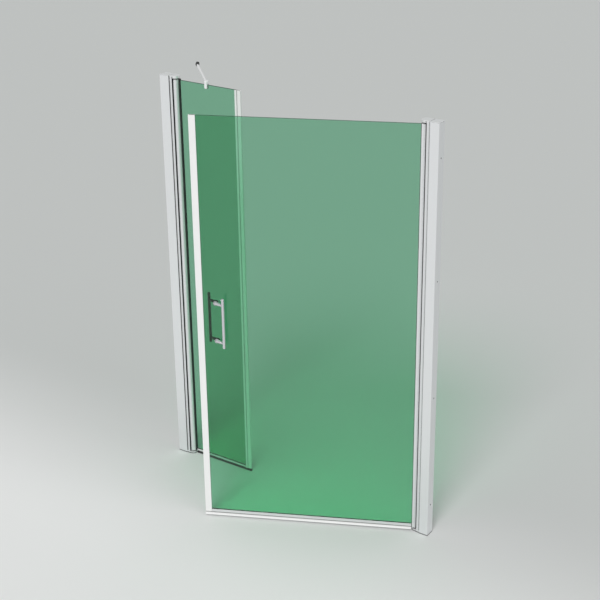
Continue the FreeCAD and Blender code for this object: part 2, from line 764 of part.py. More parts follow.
def wiper():
    """Seal on the hinge post's inner lip; its fin closes the gap to the turning tube."""
    lip = S.hinge_lip + S.seat_gap
    inside = S.post_half - S.post_skin
    root = inside - S.wiper_root
    end = lip + S.wiper_length
    fin = lip + S.wiper_fin
    tip = S.wiper_tip_x
    points = [(lip, inside), (end, inside), (end, root), (fin + S.wiper_fin / 2, root),
              (tip + S.wiper_fin * 0.75, S.wiper_tip_y - S.wiper_fin * 0.6),
              (tip, S.wiper_tip_y), (lip, root)]
    Piece("post_wiper", FIXED).pad(points, S.base_rise + S.seat_gap, CAP_UNDER - S.seat_gap)


# ---- handles: one offset pull on each face of the door, joined by studs through the glass ----

HOLE_HEIGHTS = (S.grip_low, S.grip_high)
FOOT_FACE = S.glass_half + S.grip_washer
STUD_HALF = FOOT_FACE + S.grip_foot - S.seat_gap


class Pull:
    """One handle. Way is +1 outside and -1 inside, half a turn from the other about the holes."""

    def __init__(self, name, way):
        self.name = name
        self.way = way
        self.bar_x = -GRIP_LINE + S.grip_shift * way
        self.bar_y = -S.glass_offset - S.grip_stand * way
        self.half_turn = 0 if way > 0 else HALF_TURN

    def depth(self, amount):
        """Y at a distance from the middle of the glass, on this handle's face."""
        return -S.glass_offset - amount * self.way

    def square_yaw(self):
        """Yaw that points away from the glass."""
        return -QUARTER_TURN * self.way


def arm_vector():
    """Sideways run, run away from the glass and length of an arm, foot to bar."""
    run = S.grip_shift
    rise = S.grip_stand - FOOT_FACE - S.grip_foot / 2
    length_value = (run.value ** 2 + rise.value ** 2) ** 0.5
    length = Size(length_value, "sqrt(%s * %s + %s * %s)" % (run.text, run.text, rise.text, rise.text))
    slant = Size(0, "(atan(%s / %s) / 1deg)" % (rise.text, run.text))
    return length, slant


def handle_post(pull, height, number):
    """Foot on the glass with the stud's bore, and a tapering arm that saddles the bar."""
    name = "%s_post%d" % (pull.name, number)
    length, slant = arm_vector()
    yaw = size_of(pull.half_turn) - slant
    hub = pull.depth(FOOT_FACE + S.grip_foot / 2)
    axis = -GRIP_LINE
    foot = cylinder(name + "_foot", S.grip_foot_radius, S.grip_foot, axis,
                    pull.depth(FOOT_FACE), height, pull.square_yaw(), QUARTER_TURN)
    arm = cone(name + "_arm", S.grip_arm_root, S.grip_arm_tip, length, axis, hub, height, yaw,
               QUARTER_TURN)
    solid = fused(name + "_solid", [foot, arm])
    flush = cylinder(name + "_flush", S.grip_foot_radius * 2, S.grip_foot, axis,
                     pull.depth(FOOT_FACE - S.grip_foot), height, pull.square_yaw(), QUARTER_TURN)
    bore = cylinder(name + "_bore", S.grip_stud + S.fit_gap, S.grip_foot, axis,
                    pull.depth(FOOT_FACE), height, pull.square_yaw(), QUARTER_TURN)
    saddle = cylinder(name + "_saddle", S.grip_bar_radius + S.fit_gap, S.grip_foot_radius * 4,
                      pull.bar_x, pull.bar_y, height - S.grip_foot_radius * 2)
    return cut(name, solid, [flush, bore, saddle])


def handle(pull):
    posts = [handle_post(pull, height, number) for number, height in enumerate(HOLE_HEIGHTS)]
    finish(group(pull.name + "_posts", posts), pull.name + "_posts", LEAF)
    bar = Piece(pull.name + "_bar", LEAF)
    bar.disc(S.grip_bar_radius, S.grip_bar_low, S.grip_bar_top, centre=(pull.bar_x, pull.bar_y))
    bar.bevel(S.grip_bar_edge, level_edge)


def handle_fixings(pulls):
    """Studs through the glass, with a washer on each face."""
    studs, washers = [], []
    for number, height in enumerate(HOLE_HEIGHTS):
        studs.append(cylinder("stud%d" % number, S.grip_stud, STUD_HALF * 2, -GRIP_LINE,
                              -S.glass_offset - STUD_HALF, height, QUARTER_TURN, QUARTER_TURN))
        for pull in pulls:
            name = "%s_fixing%d" % (pull.name, number)
            plate = cylinder(name + "_plate", S.grip_foot_radius, S.grip_washer, -GRIP_LINE,
                             pull.depth(S.glass_half), height, pull.square_yaw(), QUARTER_TURN)
            eye = cylinder(name + "_eye", S.grip_stud + S.fit_gap, S.grip_washer, -GRIP_LINE,
                           pull.depth(S.glass_half), height, pull.square_yaw(), QUARTER_TURN)
            washers.append(cut(name + "_washer", plate, [eye]))
    finish(group("handle_studs", studs), "handle_studs", LEAF)
    finish(group("handle_washers", washers), "handle_washers", LEAF)


# ---- brace from the panel-side wall to the top of the fixed glass ----

BRACE_WALL_X = S.hinge_wall - S.opening_width
BRACE_WALL_Y = S.brace_clamp_x + S.glass_offset
BRACE_SLANT = -45
HALF_ROOT = Size(0.5 ** 0.5, "sqrt(0.5)")


def along_brace(distance):
    """Plan position on the brace axis, counted from the wall."""
    step = size_of(distance) * HALF_ROOT
    return BRACE_WALL_X + step, BRACE_WALL_Y - step


def brace_rod(name, radius, start, end):
    """A round bar along the slanting brace axis between two distances from the wall."""
    x, y = along_brace(start)
    return cylinder(name, radius, size_of(end) - start, x, y, BRACE_HEIGHT, BRACE_SLANT, QUARTER_TURN)


def brace_flange():
    """Disc on the wall with a slanting socket for the bar and a hole for its screw."""
    height = BRACE_HEIGHT
    reach = S.brace_flange_radius * 2
    plate = cylinder("flange_plate", S.brace_flange_radius, S.brace_flange_rise, BRACE_WALL_X,
                     BRACE_WALL_Y, height, 0, QUARTER_TURN)
    socket = brace_rod("flange_socket", S.brace_socket_radius, size_of(0), S.brace_socket_end)
    behind = block("flange_behind", BRACE_WALL_X - reach, BRACE_WALL_X,
                   BRACE_WALL_Y - reach, BRACE_WALL_Y + reach, height - reach, height + reach)
    seat = brace_rod("flange_seat", S.brace_bar_radius + S.fit_gap, S.brace_bar_start,
                     S.brace_socket_end * 2)
    screw = cylinder("flange_screw", S.brace_screw, S.brace_screw_depth, BRACE_WALL_X,
                     BRACE_WALL_Y, height, 0, QUARTER_TURN)
    whole = fused("flange_whole", [plate, socket])
    finish(cut("brace_wall_flange", whole, [behind, seat, screw]), "brace_wall_flange", FREE)


def brace_clamp(bar_end):
    """Round clamp, slotted to ride on the glass, and the liner between the two."""
    clamp_x = BRACE_WALL_X + S.brace_clamp_x
    low = PANEL_TOP - S.clamp_grip
    roof = PANEL_TOP + S.liner_skin
    slot = S.glass_half + S.liner_skin
    middle = S.glass_offset
    body = Piece("clamp_body", FREE, finished=False)
    body.disc(S.clamp_radius, low, BRACE_HEIGHT + S.brace_bar_radius + S.clamp_rise,
              centre=(clamp_x, middle))
    body.bevel(S.clamp_bevel, level_edge)
    notch = block("clamp_notch", clamp_x - S.clamp_radius, clamp_x + S.clamp_radius,
                  middle - slot, middle + slot, low, roof)
    bed = brace_rod("clamp_bed", S.brace_bar_radius + S.fit_gap, S.brace_socket_end, bar_end)
    finish(cut("brace_glass_clamp", body.body, [notch, bed]), "brace_glass_clamp", FREE)
    cover = block("liner_cover", clamp_x - S.liner_half, clamp_x + S.liner_half,
                  middle - slot, middle + slot, low + S.clamp_bevel, roof)
    core = block("liner_core", clamp_x - S.liner_half, clamp_x + S.liner_half,
                 middle - S.glass_half, middle + S.glass_half, low, PANEL_TOP)
    finish(cut("brace_clamp_liner", cover, [core]), "brace_clamp_liner", FREE)


def brace():
    full = Size(S.brace_clamp_x.value * 2 ** 0.5, "(Sizes.brace_clamp_x * sqrt(2))")
    bar_end = full - S.brace_bar_end
    finish(brace_rod("brace_bar", S.brace_bar_radius, S.brace_bar_start, bar_end), "brace_bar", FREE)
    brace_flange()
    brace_clamp(bar_end)


def build_all():
    for side in (HINGE_SIDE, PANEL_SIDE):
        wall_channel(side)
        channel_cap(side)
        post(side)
        post_screws(side)
        top_cap(side)
        bottom_base(side)
    pins(HINGE_SIDE, "pin")
    pins(PANEL_SIDE, "spigot")
    wiper()
    eye = S.pin_radius + S.fit_gap * 2
    Piece("top_thrust_washer", LEAF).disc(S.washer_radius, TUBE_TOP, CAP_UNDER - S.seat_gap, eye)
    Piece("bottom_thrust_washer", FIXED).disc(S.washer_radius, S.base_rise,
                                              TUBE_LOW - S.seat_gap, eye)
    PANEL_SIDE.piece("top_spacer").disc(S.washer_radius, TUBE_TOP, CAP_UNDER, eye)
    PANEL_SIDE.piece("bottom_spacer").disc(S.washer_radius, S.base_rise, TUBE_LOW, eye)
    bush_seat = S.bush_radius + S.fit_gap
    pin_seat = S.pin_radius + S.fit_gap
    for pane, seat in ((DOOR, bush_seat), (SCREEN, pin_seat)):
        glazing_tube(pane)
        end_plug(pane, "top_plug", TUBE_TOP - S.end_plug, seat, TUBE_TOP - S.bush_length)
        end_plug(pane, "bottom_plug", TUBE_LOW, seat, TUBE_LOW)
        gasket(pane)
    for word, low in (("top", TUBE_TOP - S.bush_length), ("bottom", TUBE_LOW)):
        Piece(word + "_pivot_bush", LEAF).disc(S.bush_radius, low, low + S.bush_length, pin_seat)
    holes = [(-GRIP_LINE, height) for height in HOLE_HEIGHTS]
    glass(DOOR).bore("XZ", holes, S.grip_hole, -(S.glass_offset + S.glass_half),
                     -(S.glass_offset - S.glass_half))
    glass(SCREEN)
    edge_seal(DOOR, S.door_rail_low + S.seat_gap)
    edge_seal(SCREEN, S.panel_rail_low + S.seat_gap)
    bottom_rail(DOOR, True)
    bottom_rail(SCREEN, False)
    drip_seal()
    sill_seal()
    pulls = [Pull("outer_handle", 1), Pull("inner_handle", -1)]
    for pull in pulls:
        handle(pull)
    handle_fixings(pulls)
    brace()


def check_all():
    """Stop when any object is in an error state or any piece has no sound shape."""
    for item in DOC.Objects:
        wrong = [word for word in item.State if word in ("Invalid", "Error")]
        if wrong:
            raise RuntimeError("%s is %s" % (item.Name, wrong))
    for piece in PIECES:
        if piece.Shape.isNull() or not piece.Shape.isValid() or not piece.Shape.Solids:
            raise RuntimeError("%s has no sound shape" % piece.Label)


build_all()
DOC.recompute()
check_all()
os.makedirs("parts", exist_ok=True)
for piece in PIECES:
    piece.Shape.exportStep(os.path.join("parts", piece.Label + ".step"))
print(len(PIECES), "pieces written")
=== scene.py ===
# %% [markdown]
# # A pivot shower door, dressed for the studio
#
# The object is a glass door that turns on a round stile, beside a fixed pane on a matching
# column, both held by telescoping wall profiles. Its construction arrives as a ready frame:
# every piece is already at its true size and place. This lesson gives each piece the surface
# and the fine form that the real one has: broken edges on the metal, rounded lips on the soft
# seals, green float glass with a polished rim, and the small screws.

import json
import math

import bmesh
import bpy
from mathutils import Matrix, Vector


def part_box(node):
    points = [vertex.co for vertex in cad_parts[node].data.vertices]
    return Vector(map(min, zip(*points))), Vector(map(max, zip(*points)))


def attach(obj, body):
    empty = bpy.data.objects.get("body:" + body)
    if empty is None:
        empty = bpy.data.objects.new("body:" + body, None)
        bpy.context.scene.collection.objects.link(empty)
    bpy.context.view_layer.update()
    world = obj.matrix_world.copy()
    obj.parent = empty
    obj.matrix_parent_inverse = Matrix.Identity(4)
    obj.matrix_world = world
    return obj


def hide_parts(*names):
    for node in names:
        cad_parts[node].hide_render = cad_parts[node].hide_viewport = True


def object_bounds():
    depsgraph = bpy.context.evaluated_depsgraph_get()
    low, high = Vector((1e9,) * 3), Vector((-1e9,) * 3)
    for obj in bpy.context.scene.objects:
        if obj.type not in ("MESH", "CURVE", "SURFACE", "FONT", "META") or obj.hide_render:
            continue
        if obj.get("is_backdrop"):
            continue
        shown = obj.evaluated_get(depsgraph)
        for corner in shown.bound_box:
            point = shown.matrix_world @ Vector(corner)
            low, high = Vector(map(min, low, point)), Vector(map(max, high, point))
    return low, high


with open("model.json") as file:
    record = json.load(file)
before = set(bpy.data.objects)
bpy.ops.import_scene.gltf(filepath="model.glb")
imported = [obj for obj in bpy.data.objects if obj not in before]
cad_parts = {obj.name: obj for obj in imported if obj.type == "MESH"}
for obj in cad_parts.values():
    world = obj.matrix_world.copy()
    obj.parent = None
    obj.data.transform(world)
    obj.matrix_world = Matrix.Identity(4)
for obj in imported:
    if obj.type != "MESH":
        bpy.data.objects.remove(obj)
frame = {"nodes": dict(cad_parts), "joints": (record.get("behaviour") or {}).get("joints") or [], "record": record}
FRAME_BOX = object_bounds()
MM = 0.001
NODES = frame["nodes"]
SWING = frame["joints"][0]

# %% [markdown]
# ## The camera
#
# The photograph was taken from above and from the right of the doorway, with a long lens, so
# the upright lines stay nearly parallel. A camera is easiest to repeat when its place is a
# point and its direction two angles. The small shift slides the picture on the sensor and
# keeps the object where the photograph has it, without tilting the camera.

# %% Put the camera where the photograph was taken
CAMERA_PLACE = Vector((2.43515, -4.45844, 3.39149))
CAMERA_TURN = math.radians(32.473)
CAMERA_RISE = math.radians(22.949)
LENS = 80.29
SENSOR = 36.0
SHIFT_RIGHT = -0.0668
SHIFT_UP = -0.0458


def place_camera():
    """Set up the camera with the photograph's place, angles, lens and shift."""
    data = bpy.data.cameras.new("photo_view")
    data.lens = LENS
    data.sensor_width = SENSOR
    data.shift_x = SHIFT_RIGHT
    data.shift_y = SHIFT_UP
    camera = bpy.data.objects.new("photo_view", data)
    camera.location = CAMERA_PLACE
    camera.rotation_euler = (math.pi / 2 - CAMERA_RISE, 0, CAMERA_TURN)
    bpy.context.scene.collection.objects.link(camera)
    bpy.context.scene.camera = camera


place_camera()
print("camera stands", round(CAMERA_PLACE.length, 2), "m from the pivot's foot")

# %% [markdown]
# ## Words for building materials
#
# A material is a small graph. A few helpers keep every recipe readable: one adds a node and
# fills its inputs by name, one joins an output to an input, one calculates, and the rest are
# small groups of nodes that most recipes share.

# %% Helpers that add and join nodes
def add_node(tree, kind, **inputs):
    """A node whose inputs are filled by name; underscores stand for spaces."""
    node = tree.nodes.new(kind)
    for name, value in inputs.items():
        node.inputs[name.replace("_", " ")].default_value = value
    return node


def connect(tree, source, output, target, name):
    """Join an output to an input, each found by its name or its number."""
    tree.links.new(source.outputs[output], target.inputs[name])


def calculate(tree, operation, *terms):
    """A Math node; a term is a number, or a node with the name of its output."""
    result = tree.nodes.new("ShaderNodeMath")
    result.operation = operation
    for number, term in enumerate(terms):
        if isinstance(term, tuple):
            connect(tree, *term, result, number)
        else:
            result.inputs[number].default_value = term
    return result


print("helpers:", add_node.__name__, connect.__name__, calculate.__name__)

# %% Parts that most recipes share
RECIPES = []
EVEN = (1, 1, 1)
BUMP_HEIGHT = 0.2 * MM


def blank_material(name):
    """An empty material with its output node."""
    material = bpy.data.materials.new(name)
    material.use_nodes = True
    material.node_tree.nodes.clear()
    output = material.node_tree.nodes.new("ShaderNodeOutputMaterial")
    RECIPES.append(name)
    return material, material.node_tree, output


def grain(tree, stretch, scale, detail=3.0):
    """Noise in the object's own space, stretched along its axes."""
    place = tree.nodes.new("ShaderNodeTexCoord")
    mapping = tree.nodes.new("ShaderNodeMapping")
    mapping.inputs["Scale"].default_value = stretch
    noise = add_node(tree, "ShaderNodeTexNoise", Scale=scale, Detail=detail)
    connect(tree, place, "Object", mapping, "Vector")
    connect(tree, mapping, "Vector", noise, "Vector")
    return noise


def between(tree, source, output, low, high):
    """Map a value from 0 to 1 onto a range."""
    span = add_node(tree, "ShaderNodeMapRange", To_Min=low, To_Max=high)
    connect(tree, source, output, span, "Value")
    return span


def blend_colours(tree, factor, output, first, second):
    """Go from one colour to another as an output goes from 0 to 1."""
    mix = tree.nodes.new("ShaderNodeMix")
    mix.data_type = "RGBA"
    mix.inputs["A"].default_value = (*first, 1)
    mix.inputs["B"].default_value = (*second, 1)
    connect(tree, factor, output, mix, "Factor")
    return mix


def emboss(tree, fine, strength, shader):
    """Let fine noise move the light on a surface."""
    bump = add_node(tree, "ShaderNodeBump", Strength=strength, Distance=BUMP_HEIGHT)
    connect(tree, fine, "Fac", bump, "Height")
    connect(tree, bump, "Normal", shader, "Normal")


print("bumps are", round(BUMP_HEIGHT / MM, 1), "mm high at most")

# %% [markdown]
# ## Satin aluminium
#
# Wall profiles, stile and rails are extruded: the die leaves very fine lines along the bar,
# and the satin bath softens them. Noise that is stretched along the length gives those lines
# to roughness and bump. The rail lies along the leaf, the posts stand up, so the direction of
# the lines is an argument. Where two profiles meet, the colour is darkened in the corner as
# painted shade; the ambient occlusion node finds such corners by itself. It also finds the
# floor, which is no part of the object, so the painted shade is lifted in a low band at the foot.

# %% Painted shade in the corners
# Height over the floor in mm, and how far the painted shade is lifted there.
FOOT_LINE = ((0.0, 0), (2.0, 0), (4.5, 1), (9.0, 1), (13.5, 0))
# Ambient occlusion up to SHUT is a corner in full painted shade, and from OPEN on the open.
SHUT = 0.58
OPEN = 0.98
CORNER_RAYS = 16


def clear_of_floor(tree):
    """1 in the band just above the floor, where painted shade is lifted, and 0 elsewhere."""
    place = tree.nodes.new("ShaderNodeTexCoord")
    axes = tree.nodes.new("ShaderNodeSeparateXYZ")
    connect(tree, place, "Object", axes, "Vector")
    top = FOOT_LINE[-1][0] * MM
    height = add_node(tree, "ShaderNodeMapRange", From_Max=top)
    connect(tree, axes, "Z", height, "Value")
    band = tree.nodes.new("ShaderNodeValToRGB")
    steps = band.color_ramp.elements
    for rise, level in FOOT_LINE[1:-1]:
        steps.new(rise * MM / top).color = (level, level, level, 1)
    steps[0].color = steps[-1].color = (0, 0, 0, 1)
    connect(tree, height, "Result", band, "Fac")
    return band


def open_share(tree, reach, shut=SHUT):
    """How far painted shade spares a surface: 1 in the open, and 0 in a corner or beside a step."""
    corners = add_node(tree, "ShaderNodeAmbientOcclusion", Distance=reach)
    corners.samples = CORNER_RAYS
    share = add_node(tree, "ShaderNodeMapRange", From_Min=shut, From_Max=OPEN)
    connect(tree, corners, "AO", share, "Value")
    return calculate(tree, "MAXIMUM", (share, "Result"), (clear_of_floor(tree), "Color"))


print("shade is lifted up to", FOOT_LINE[-1][0], "mm over the floor")

# %% A metal with its lines, smudges and painted shade
SMUDGE_SCALE = 9.0
SMUDGE_SPREAD = (-0.03, 0.05)
LINE_SPREAD = 0.05


def metal(name, pale, dark, rough, lines, reach=8 * MM, strength=0.06, shine=0.6, shut=SHUT):
    """A satin metal with painted shade in its corners; dark is the colour of that shade, lines the stretch of its
    die lines or polish.
    """
    material, tree, output = blank_material(name)
    shader = add_node(tree, "ShaderNodeBsdfPrincipled", Metallic=shine)
    fine = grain(tree, lines, 1.0)
    smudge = grain(tree, EVEN, SMUDGE_SCALE)
    narrow = between(tree, fine, "Fac", rough - LINE_SPREAD, rough + LINE_SPREAD)
    wide = between(tree, smudge, "Fac", *SMUDGE_SPREAD)
    total = calculate(tree, "ADD", (narrow, "Result"), (wide, "Result"))
    connect(tree, total, "Value", shader, "Roughness")
    emboss(tree, fine, strength, shader)
    # Painted shade: the colour goes from pale in the open to dark in corners and beside steps.
    tone = blend_colours(tree, open_share(tree, reach, shut), "Value", dark, pale)
    connect(tree, tone, "Result", shader, "Base Color")
    connect(tree, shader, "BSDF", output, "Surface")
    return material


UPRIGHT_LINES = (900, 900, 3)
LEVEL_LINES = (3, 900, 900)
ROUND_POLISH = (300, 300, 300)
print("lines are", UPRIGHT_LINES[0] // UPRIGHT_LINES[2], "times as long as they are wide")

# %% The metals of this object
# Each metal's second colour is its painted shade in corners and beside steps.
PAINTED_SHADE_TONE = (0.05, 0.05, 0.055)
satin_upright = metal("satin_aluminium_upright", (0.84, 0.85, 0.865), PAINTED_SHADE_TONE,
                      rough=0.34, lines=UPRIGHT_LINES, reach=13 * MM, shut=0.81)
satin_level = metal("satin_aluminium_level", (0.80, 0.81, 0.82), PAINTED_SHADE_TONE,
                    rough=0.34, lines=LEVEL_LINES, reach=10 * MM, shut=0.74)
cast_caps = metal("cast_cap_metal", (0.86, 0.87, 0.88), PAINTED_SHADE_TONE,
                  rough=0.30, lines=ROUND_POLISH, reach=10 * MM, shut=0.70)
handle_metal = metal("polished_handle_metal", (0.67, 0.66, 0.70), (0.08, 0.075, 0.085),
                     rough=0.24, lines=UPRIGHT_LINES, reach=6 * MM, strength=0.03, shut=0.66)
# The inner handle's near-black tone is painted shade, for how dark it looks behind the green glass.
shade_painted_handle = metal("shade_painted_handle_metal", (0.022, 0.020, 0.024), (0.008, 0.008, 0.008),
                    rough=0.26, lines=UPRIGHT_LINES, strength=0.03)
brace_metal = metal("polished_brace_metal", (0.93, 0.93, 0.94), (0.06, 0.06, 0.065),
                    rough=0.22, lines=ROUND_POLISH, reach=7 * MM, strength=0.03, shine=0.3,
                    shut=0.70)
# The wall flange's near-black tone is painted shade, for the shadow that it stands in.
shade_painted_flange = metal("shade_painted_flange_metal", (0.035, 0.040, 0.038), (0.01, 0.01, 0.01),
                    rough=0.38, lines=ROUND_POLISH)
screw_steel = metal("screw_steel", (0.62, 0.62, 0.61), (0.08, 0.08, 0.08),
                    rough=0.25, lines=ROUND_POLISH, reach=1 * MM)
METALS = len(RECIPES)
print("metals:", METALS)

# %% [markdown]
# ## Rubber, plastic and magnet
#
# The closing seals are white soft plastic, the gaskets black rubber, and the hidden bushes
# and washers nylon. None of them is one flat tone: extruded plastic has faint lines and a
# slightly cloudy colour, and rubber is finely grained. All of them are darker in their corners
# and beside steps, and that is painted shade.

# %% A plastic or rubber with a cloudy tone
CLOUD_SCALE = 14.0
PLASTIC_SPREAD = 0.08


def moulded(name, tone, other, rough, lines, strength, reach=4 * MM, corner=0.3):
    """Plastic or rubber that wanders between two near tones and carries painted shade in its corners."""
    material, tree, output = blank_material(name)
    shader = add_node(tree, "ShaderNodeBsdfPrincipled")
    cloud = grain(tree, EVEN, CLOUD_SCALE)
    fine = grain(tree, lines, 1.0)
    body = blend_colours(tree, cloud, "Fac", tone, other)
    # Painted shade: in a corner the colour is scaled down to the corner factor.
    shade = between(tree, open_share(tree, reach), "Value", corner, 1.0)
    darken = tree.nodes.new("ShaderNodeVectorMath")
    darken.operation = "SCALE"
    connect(tree, body, "Result", darken, "Vector")
    connect(tree, shade, "Result", darken, "Scale")
    connect(tree, darken, "Vector", shader, "Base Color")
    spread = between(tree, fine, "Fac", rough - PLASTIC_SPREAD, rough + PLASTIC_SPREAD)
    connect(tree, spread, "Result", shader, "Roughness")
    emboss(tree, fine, strength, shader)
    connect(tree, shader, "BSDF", output, "Surface")
    return material


FINE_GRAIN = (1500, 1500, 1500)
print("fine grain is", round(1000 / FINE_GRAIN[0], 2), "mm wide")

# %% The soft and moulded materials of this object
white_seal = moulded("white_seal_plastic", (0.87, 0.87, 0.865), (0.83, 0.835, 0.83),
                     rough=0.42, lines=UPRIGHT_LINES, strength=0.05)
# The drip seal's low corner factor paints a dark shade line in the groove under the rail.
white_drip = moulded("white_drip_plastic", (0.76, 0.76, 0.755), (0.71, 0.715, 0.71),
                     rough=0.45, lines=LEVEL_LINES, strength=0.05, reach=6 * MM, corner=0.12)
black_rubber = moulded("black_gasket_rubber", (0.018, 0.018, 0.018), (0.030, 0.030, 0.029),
                       rough=0.62, lines=FINE_GRAIN, strength=0.12)
dark_nylon = moulded("dark_nylon", (0.040, 0.040, 0.041), (0.055, 0.055, 0.055),
                     rough=0.5, lines=FINE_GRAIN, strength=0.05)
magnet_strip = moulded("magnet_strip_rubber", (0.10, 0.085, 0.07), (0.13, 0.11, 0.09),
                       rough=0.6, lines=FINE_GRAIN, strength=0.1)
print("soft and moulded materials:", len(RECIPES) - METALS)

# %% [markdown]
# ## Green float glass
#
# Clear float glass looks green because iron in it swallows red and some blue, more the longer
# the light travels inside. Tinting the surface would miss the best part: seen through its
# edge, the same pane is almost black green. So the surface stays clear and the body absorbs.
# The photograph's glass lets about 0.29 of the red, 0.65 of the green and 0.44 of the blue
# through its 6 mm, and the absorption per metre follows from that. Lamps reach what is behind
# the pane through a transparent shader, which the body still tints.

# %% Glass that absorbs along the way
PANE_LOW, PANE_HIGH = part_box("panel_glass")
PANE = PANE_HIGH.y - PANE_LOW.y
PASSED = (0.29, 0.65, 0.44)
LIGHT_PATH = 1.05 * PANE    # light crosses a pane at a slant
DENSITY_ROOM = 1.02         # keeps the colour of the absorption above black
REFRACTION = 1.52
FILM_SCALE = 7.0
HAZE = 0.018


def green_glass(name, film_stretch):
    """Clear glass with a thin uneven film on it and a body that swallows red and blue."""
    material, tree, output = blank_material(name)
    glass = add_node(tree, "ShaderNodeBsdfPrincipled", Base_Color=(1, 1, 1, 1),
                     IOR=REFRACTION, Transmission_Weight=1.0)
    film = grain(tree, film_stretch, FILM_SCALE)
    haze = between(tree, film, "Fac", 0.0, HAZE)
    connect(tree, haze, "Result", glass, "Roughness")
    through = tree.nodes.new("ShaderNodeBsdfTransparent")
    ray = tree.nodes.new("ShaderNodeLightPath")
    choose = tree.nodes.new("ShaderNodeMixShader")
    connect(tree, ray, "Is Shadow Ray", choose, "Fac")
    connect(tree, glass, "BSDF", choose, 1)
    connect(tree, through, "BSDF", choose, 2)
    connect(tree, choose, "Shader", output, "Surface")
    swallowed = [-math.log(share) / LIGHT_PATH for share in PASSED]
    density = max(swallowed) * DENSITY_ROOM
    body = add_node(tree, "ShaderNodeVolumeAbsorption", Density=density,
                    Color=(*[1 - amount / density for amount in swallowed], 1))
    connect(tree, body, "Volume", output, "Volume")
    return material


door_green = green_glass("green_float_glass_door", (1, 1, 0.4))
panel_green = green_glass("green_float_glass_panel", (1.3, 1.3, 0.5))
print("pane is", round(PANE / MM, 2), "mm thick")

# %% The ground rim of a pane
RIM_TONES = ((0.002, 0.016, 0.010), (0.004, 0.028, 0.018))
RIM_CLOUD = 60.0
RIM_SCRATCH = 900.0
RIM_ROUGH = (0.40, 0.60)


def ground_rim():
    """The ground edge of a pane: it scatters what the long way through the glass has left."""
    material, tree, output = blank_material("ground_glass_rim")
    shader = add_node(tree, "ShaderNodeBsdfPrincipled", IOR=REFRACTION)
    cloud = grain(tree, EVEN, RIM_CLOUD)
    tone = blend_colours(tree, cloud, "Fac", *RIM_TONES)
    connect(tree, tone, "Result", shader, "Base Color")
    rough = between(tree, grain(tree, EVEN, RIM_SCRATCH), "Fac", *RIM_ROUGH)
    connect(tree, rough, "Result", shader, "Roughness")
    connect(tree, shader, "BSDF", output, "Surface")
    return material


rim_green = ground_rim()
print("materials so far:", len(RECIPES))

# %% [markdown]
# ## Broken edges
#
# No edge on a real profile is mathematically sharp. A die, a file or a tumbling drum leaves a
# radius of a few tenths of a millimetre, and that radius is what catches the light. One
# function serves all rigid pieces: it copies a frame piece, welds its loose triangles, merges
# flat neighbours and rolls a small bevel over every hard edge. The copy then stands for the
# original, so the place and size can't drift.

# %% Keep a finished piece
PIECES = {}
BODY_OF = {node: body for body, nodes in frame["record"]["behaviour"]["bodies"].items()
           for node in nodes}
SLOT_OF = {part["node"]: part["material_slot"] for part in frame["record"]["subparts"]}


def keep_piece(name, mesh, material, body, slot, *nodes):
    """Link a finished mesh, hang it on its body and let it stand for frame pieces."""
    mesh.materials.clear()
    mesh.materials.append(material)
    piece = bpy.data.objects.new(name, mesh)
    bpy.context.scene.collection.objects.link(piece)
    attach(piece, body)
    if nodes:
        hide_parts(*nodes)
    PIECES[name] = piece
    return piece


def shaded(mesh, degrees):
    """Smooth shading up to an angle; a large face keeps its normal beside a rolled edge."""
    for face in mesh.polygons:
        face.use_smooth = True
    mesh.set_sharp_from_angle(angle=math.radians(degrees))
    carrier = bpy.data.objects.new(mesh.name, mesh)
    bpy.context.scene.collection.objects.link(carrier)
    weigh = carrier.modifiers.new("weigh", "WEIGHTED_NORMAL")
    weigh.keep_sharp = True
    ready = carrier.evaluated_get(bpy.context.evaluated_depsgraph_get())
    result = bpy.data.meshes.new_from_object(ready)
    bpy.data.objects.remove(carrier)
    name = mesh.name
    bpy.data.meshes.remove(mesh)
    result.name = name
    return result


print("bodies:", sorted(set(BODY_OF.values())), "and slots:", len(set(SLOT_OF.values())))

# %% A copy of a frame piece with its hard edges eased
WELD = 0.002 * MM
FLAT_ANGLE = math.radians(0.4)
HARD_EDGE = math.radians(28)
METAL_SHARP = 50


def welded(node):
    """The frame piece's mesh as one closed skin of flat faces."""
    mesh = bmesh.new()
    mesh.from_mesh(NODES[node].data)
    bmesh.ops.remove_doubles(mesh, verts=mesh.verts, dist=WELD)
    bmesh.ops.dissolve_limit(mesh, angle_limit=FLAT_ANGLE, verts=mesh.verts,
                             edges=mesh.edges)
    return mesh


def eased(node, material, radius, steps=2, sharp=METAL_SHARP, slot=None):
    """Stand in for one frame piece with a copy whose hard edges are rolled over."""
    skin = welded(node)
    edges = [edge for edge in skin.edges
             if edge.is_manifold and edge.calc_face_angle() > HARD_EDGE]
    bmesh.ops.bevel(skin, geom=edges, offset=radius, segments=steps, profile=0.5,
                    affect="EDGES", clamp_overlap=True)
    mesh = bpy.data.meshes.new(node + "_eased")
    skin.to_mesh(mesh)
    skin.free()
    mesh = shaded(mesh, sharp)
    return keep_piece(mesh.name, mesh, material, BODY_OF[node], slot or SLOT_OF[node], node)


print("an edge is eased from", round(math.degrees(HARD_EDGE)), "degrees on")

# %% [markdown]
# ## Profiles, caps and rails
#
# Channels, posts, stile, column and rails are cut from extruded bars, and the caps and bases
# are cast. Their form could be drawn again here, but the frame has it already, so they are
# only eased: an extrusion gets a tight radius, a cast piece a softer one.

# %% Ease the metal pieces
EXTRUDED_EDGE = 0.35 * MM
CAST_EDGE = 0.6 * MM
for upright in ("hinge_wall_channel", "hinge_post", "panel_wall_channel", "panel_post",
                "door_stile", "panel_column"):
    eased(upright, satin_upright, EXTRUDED_EDGE)
for rail in ("door_bottom_rail", "panel_bottom_rail"):
    eased(rail, satin_level, EXTRUDED_EDGE)
for cap in ("hinge_channel_cap", "panel_channel_cap", "hinge_top_cap", "panel_top_cap",
            "hinge_bottom_base", "panel_bottom_base"):
    eased(cap, cast_caps, CAST_EDGE)
print("metal pieces so far:", len(PIECES))
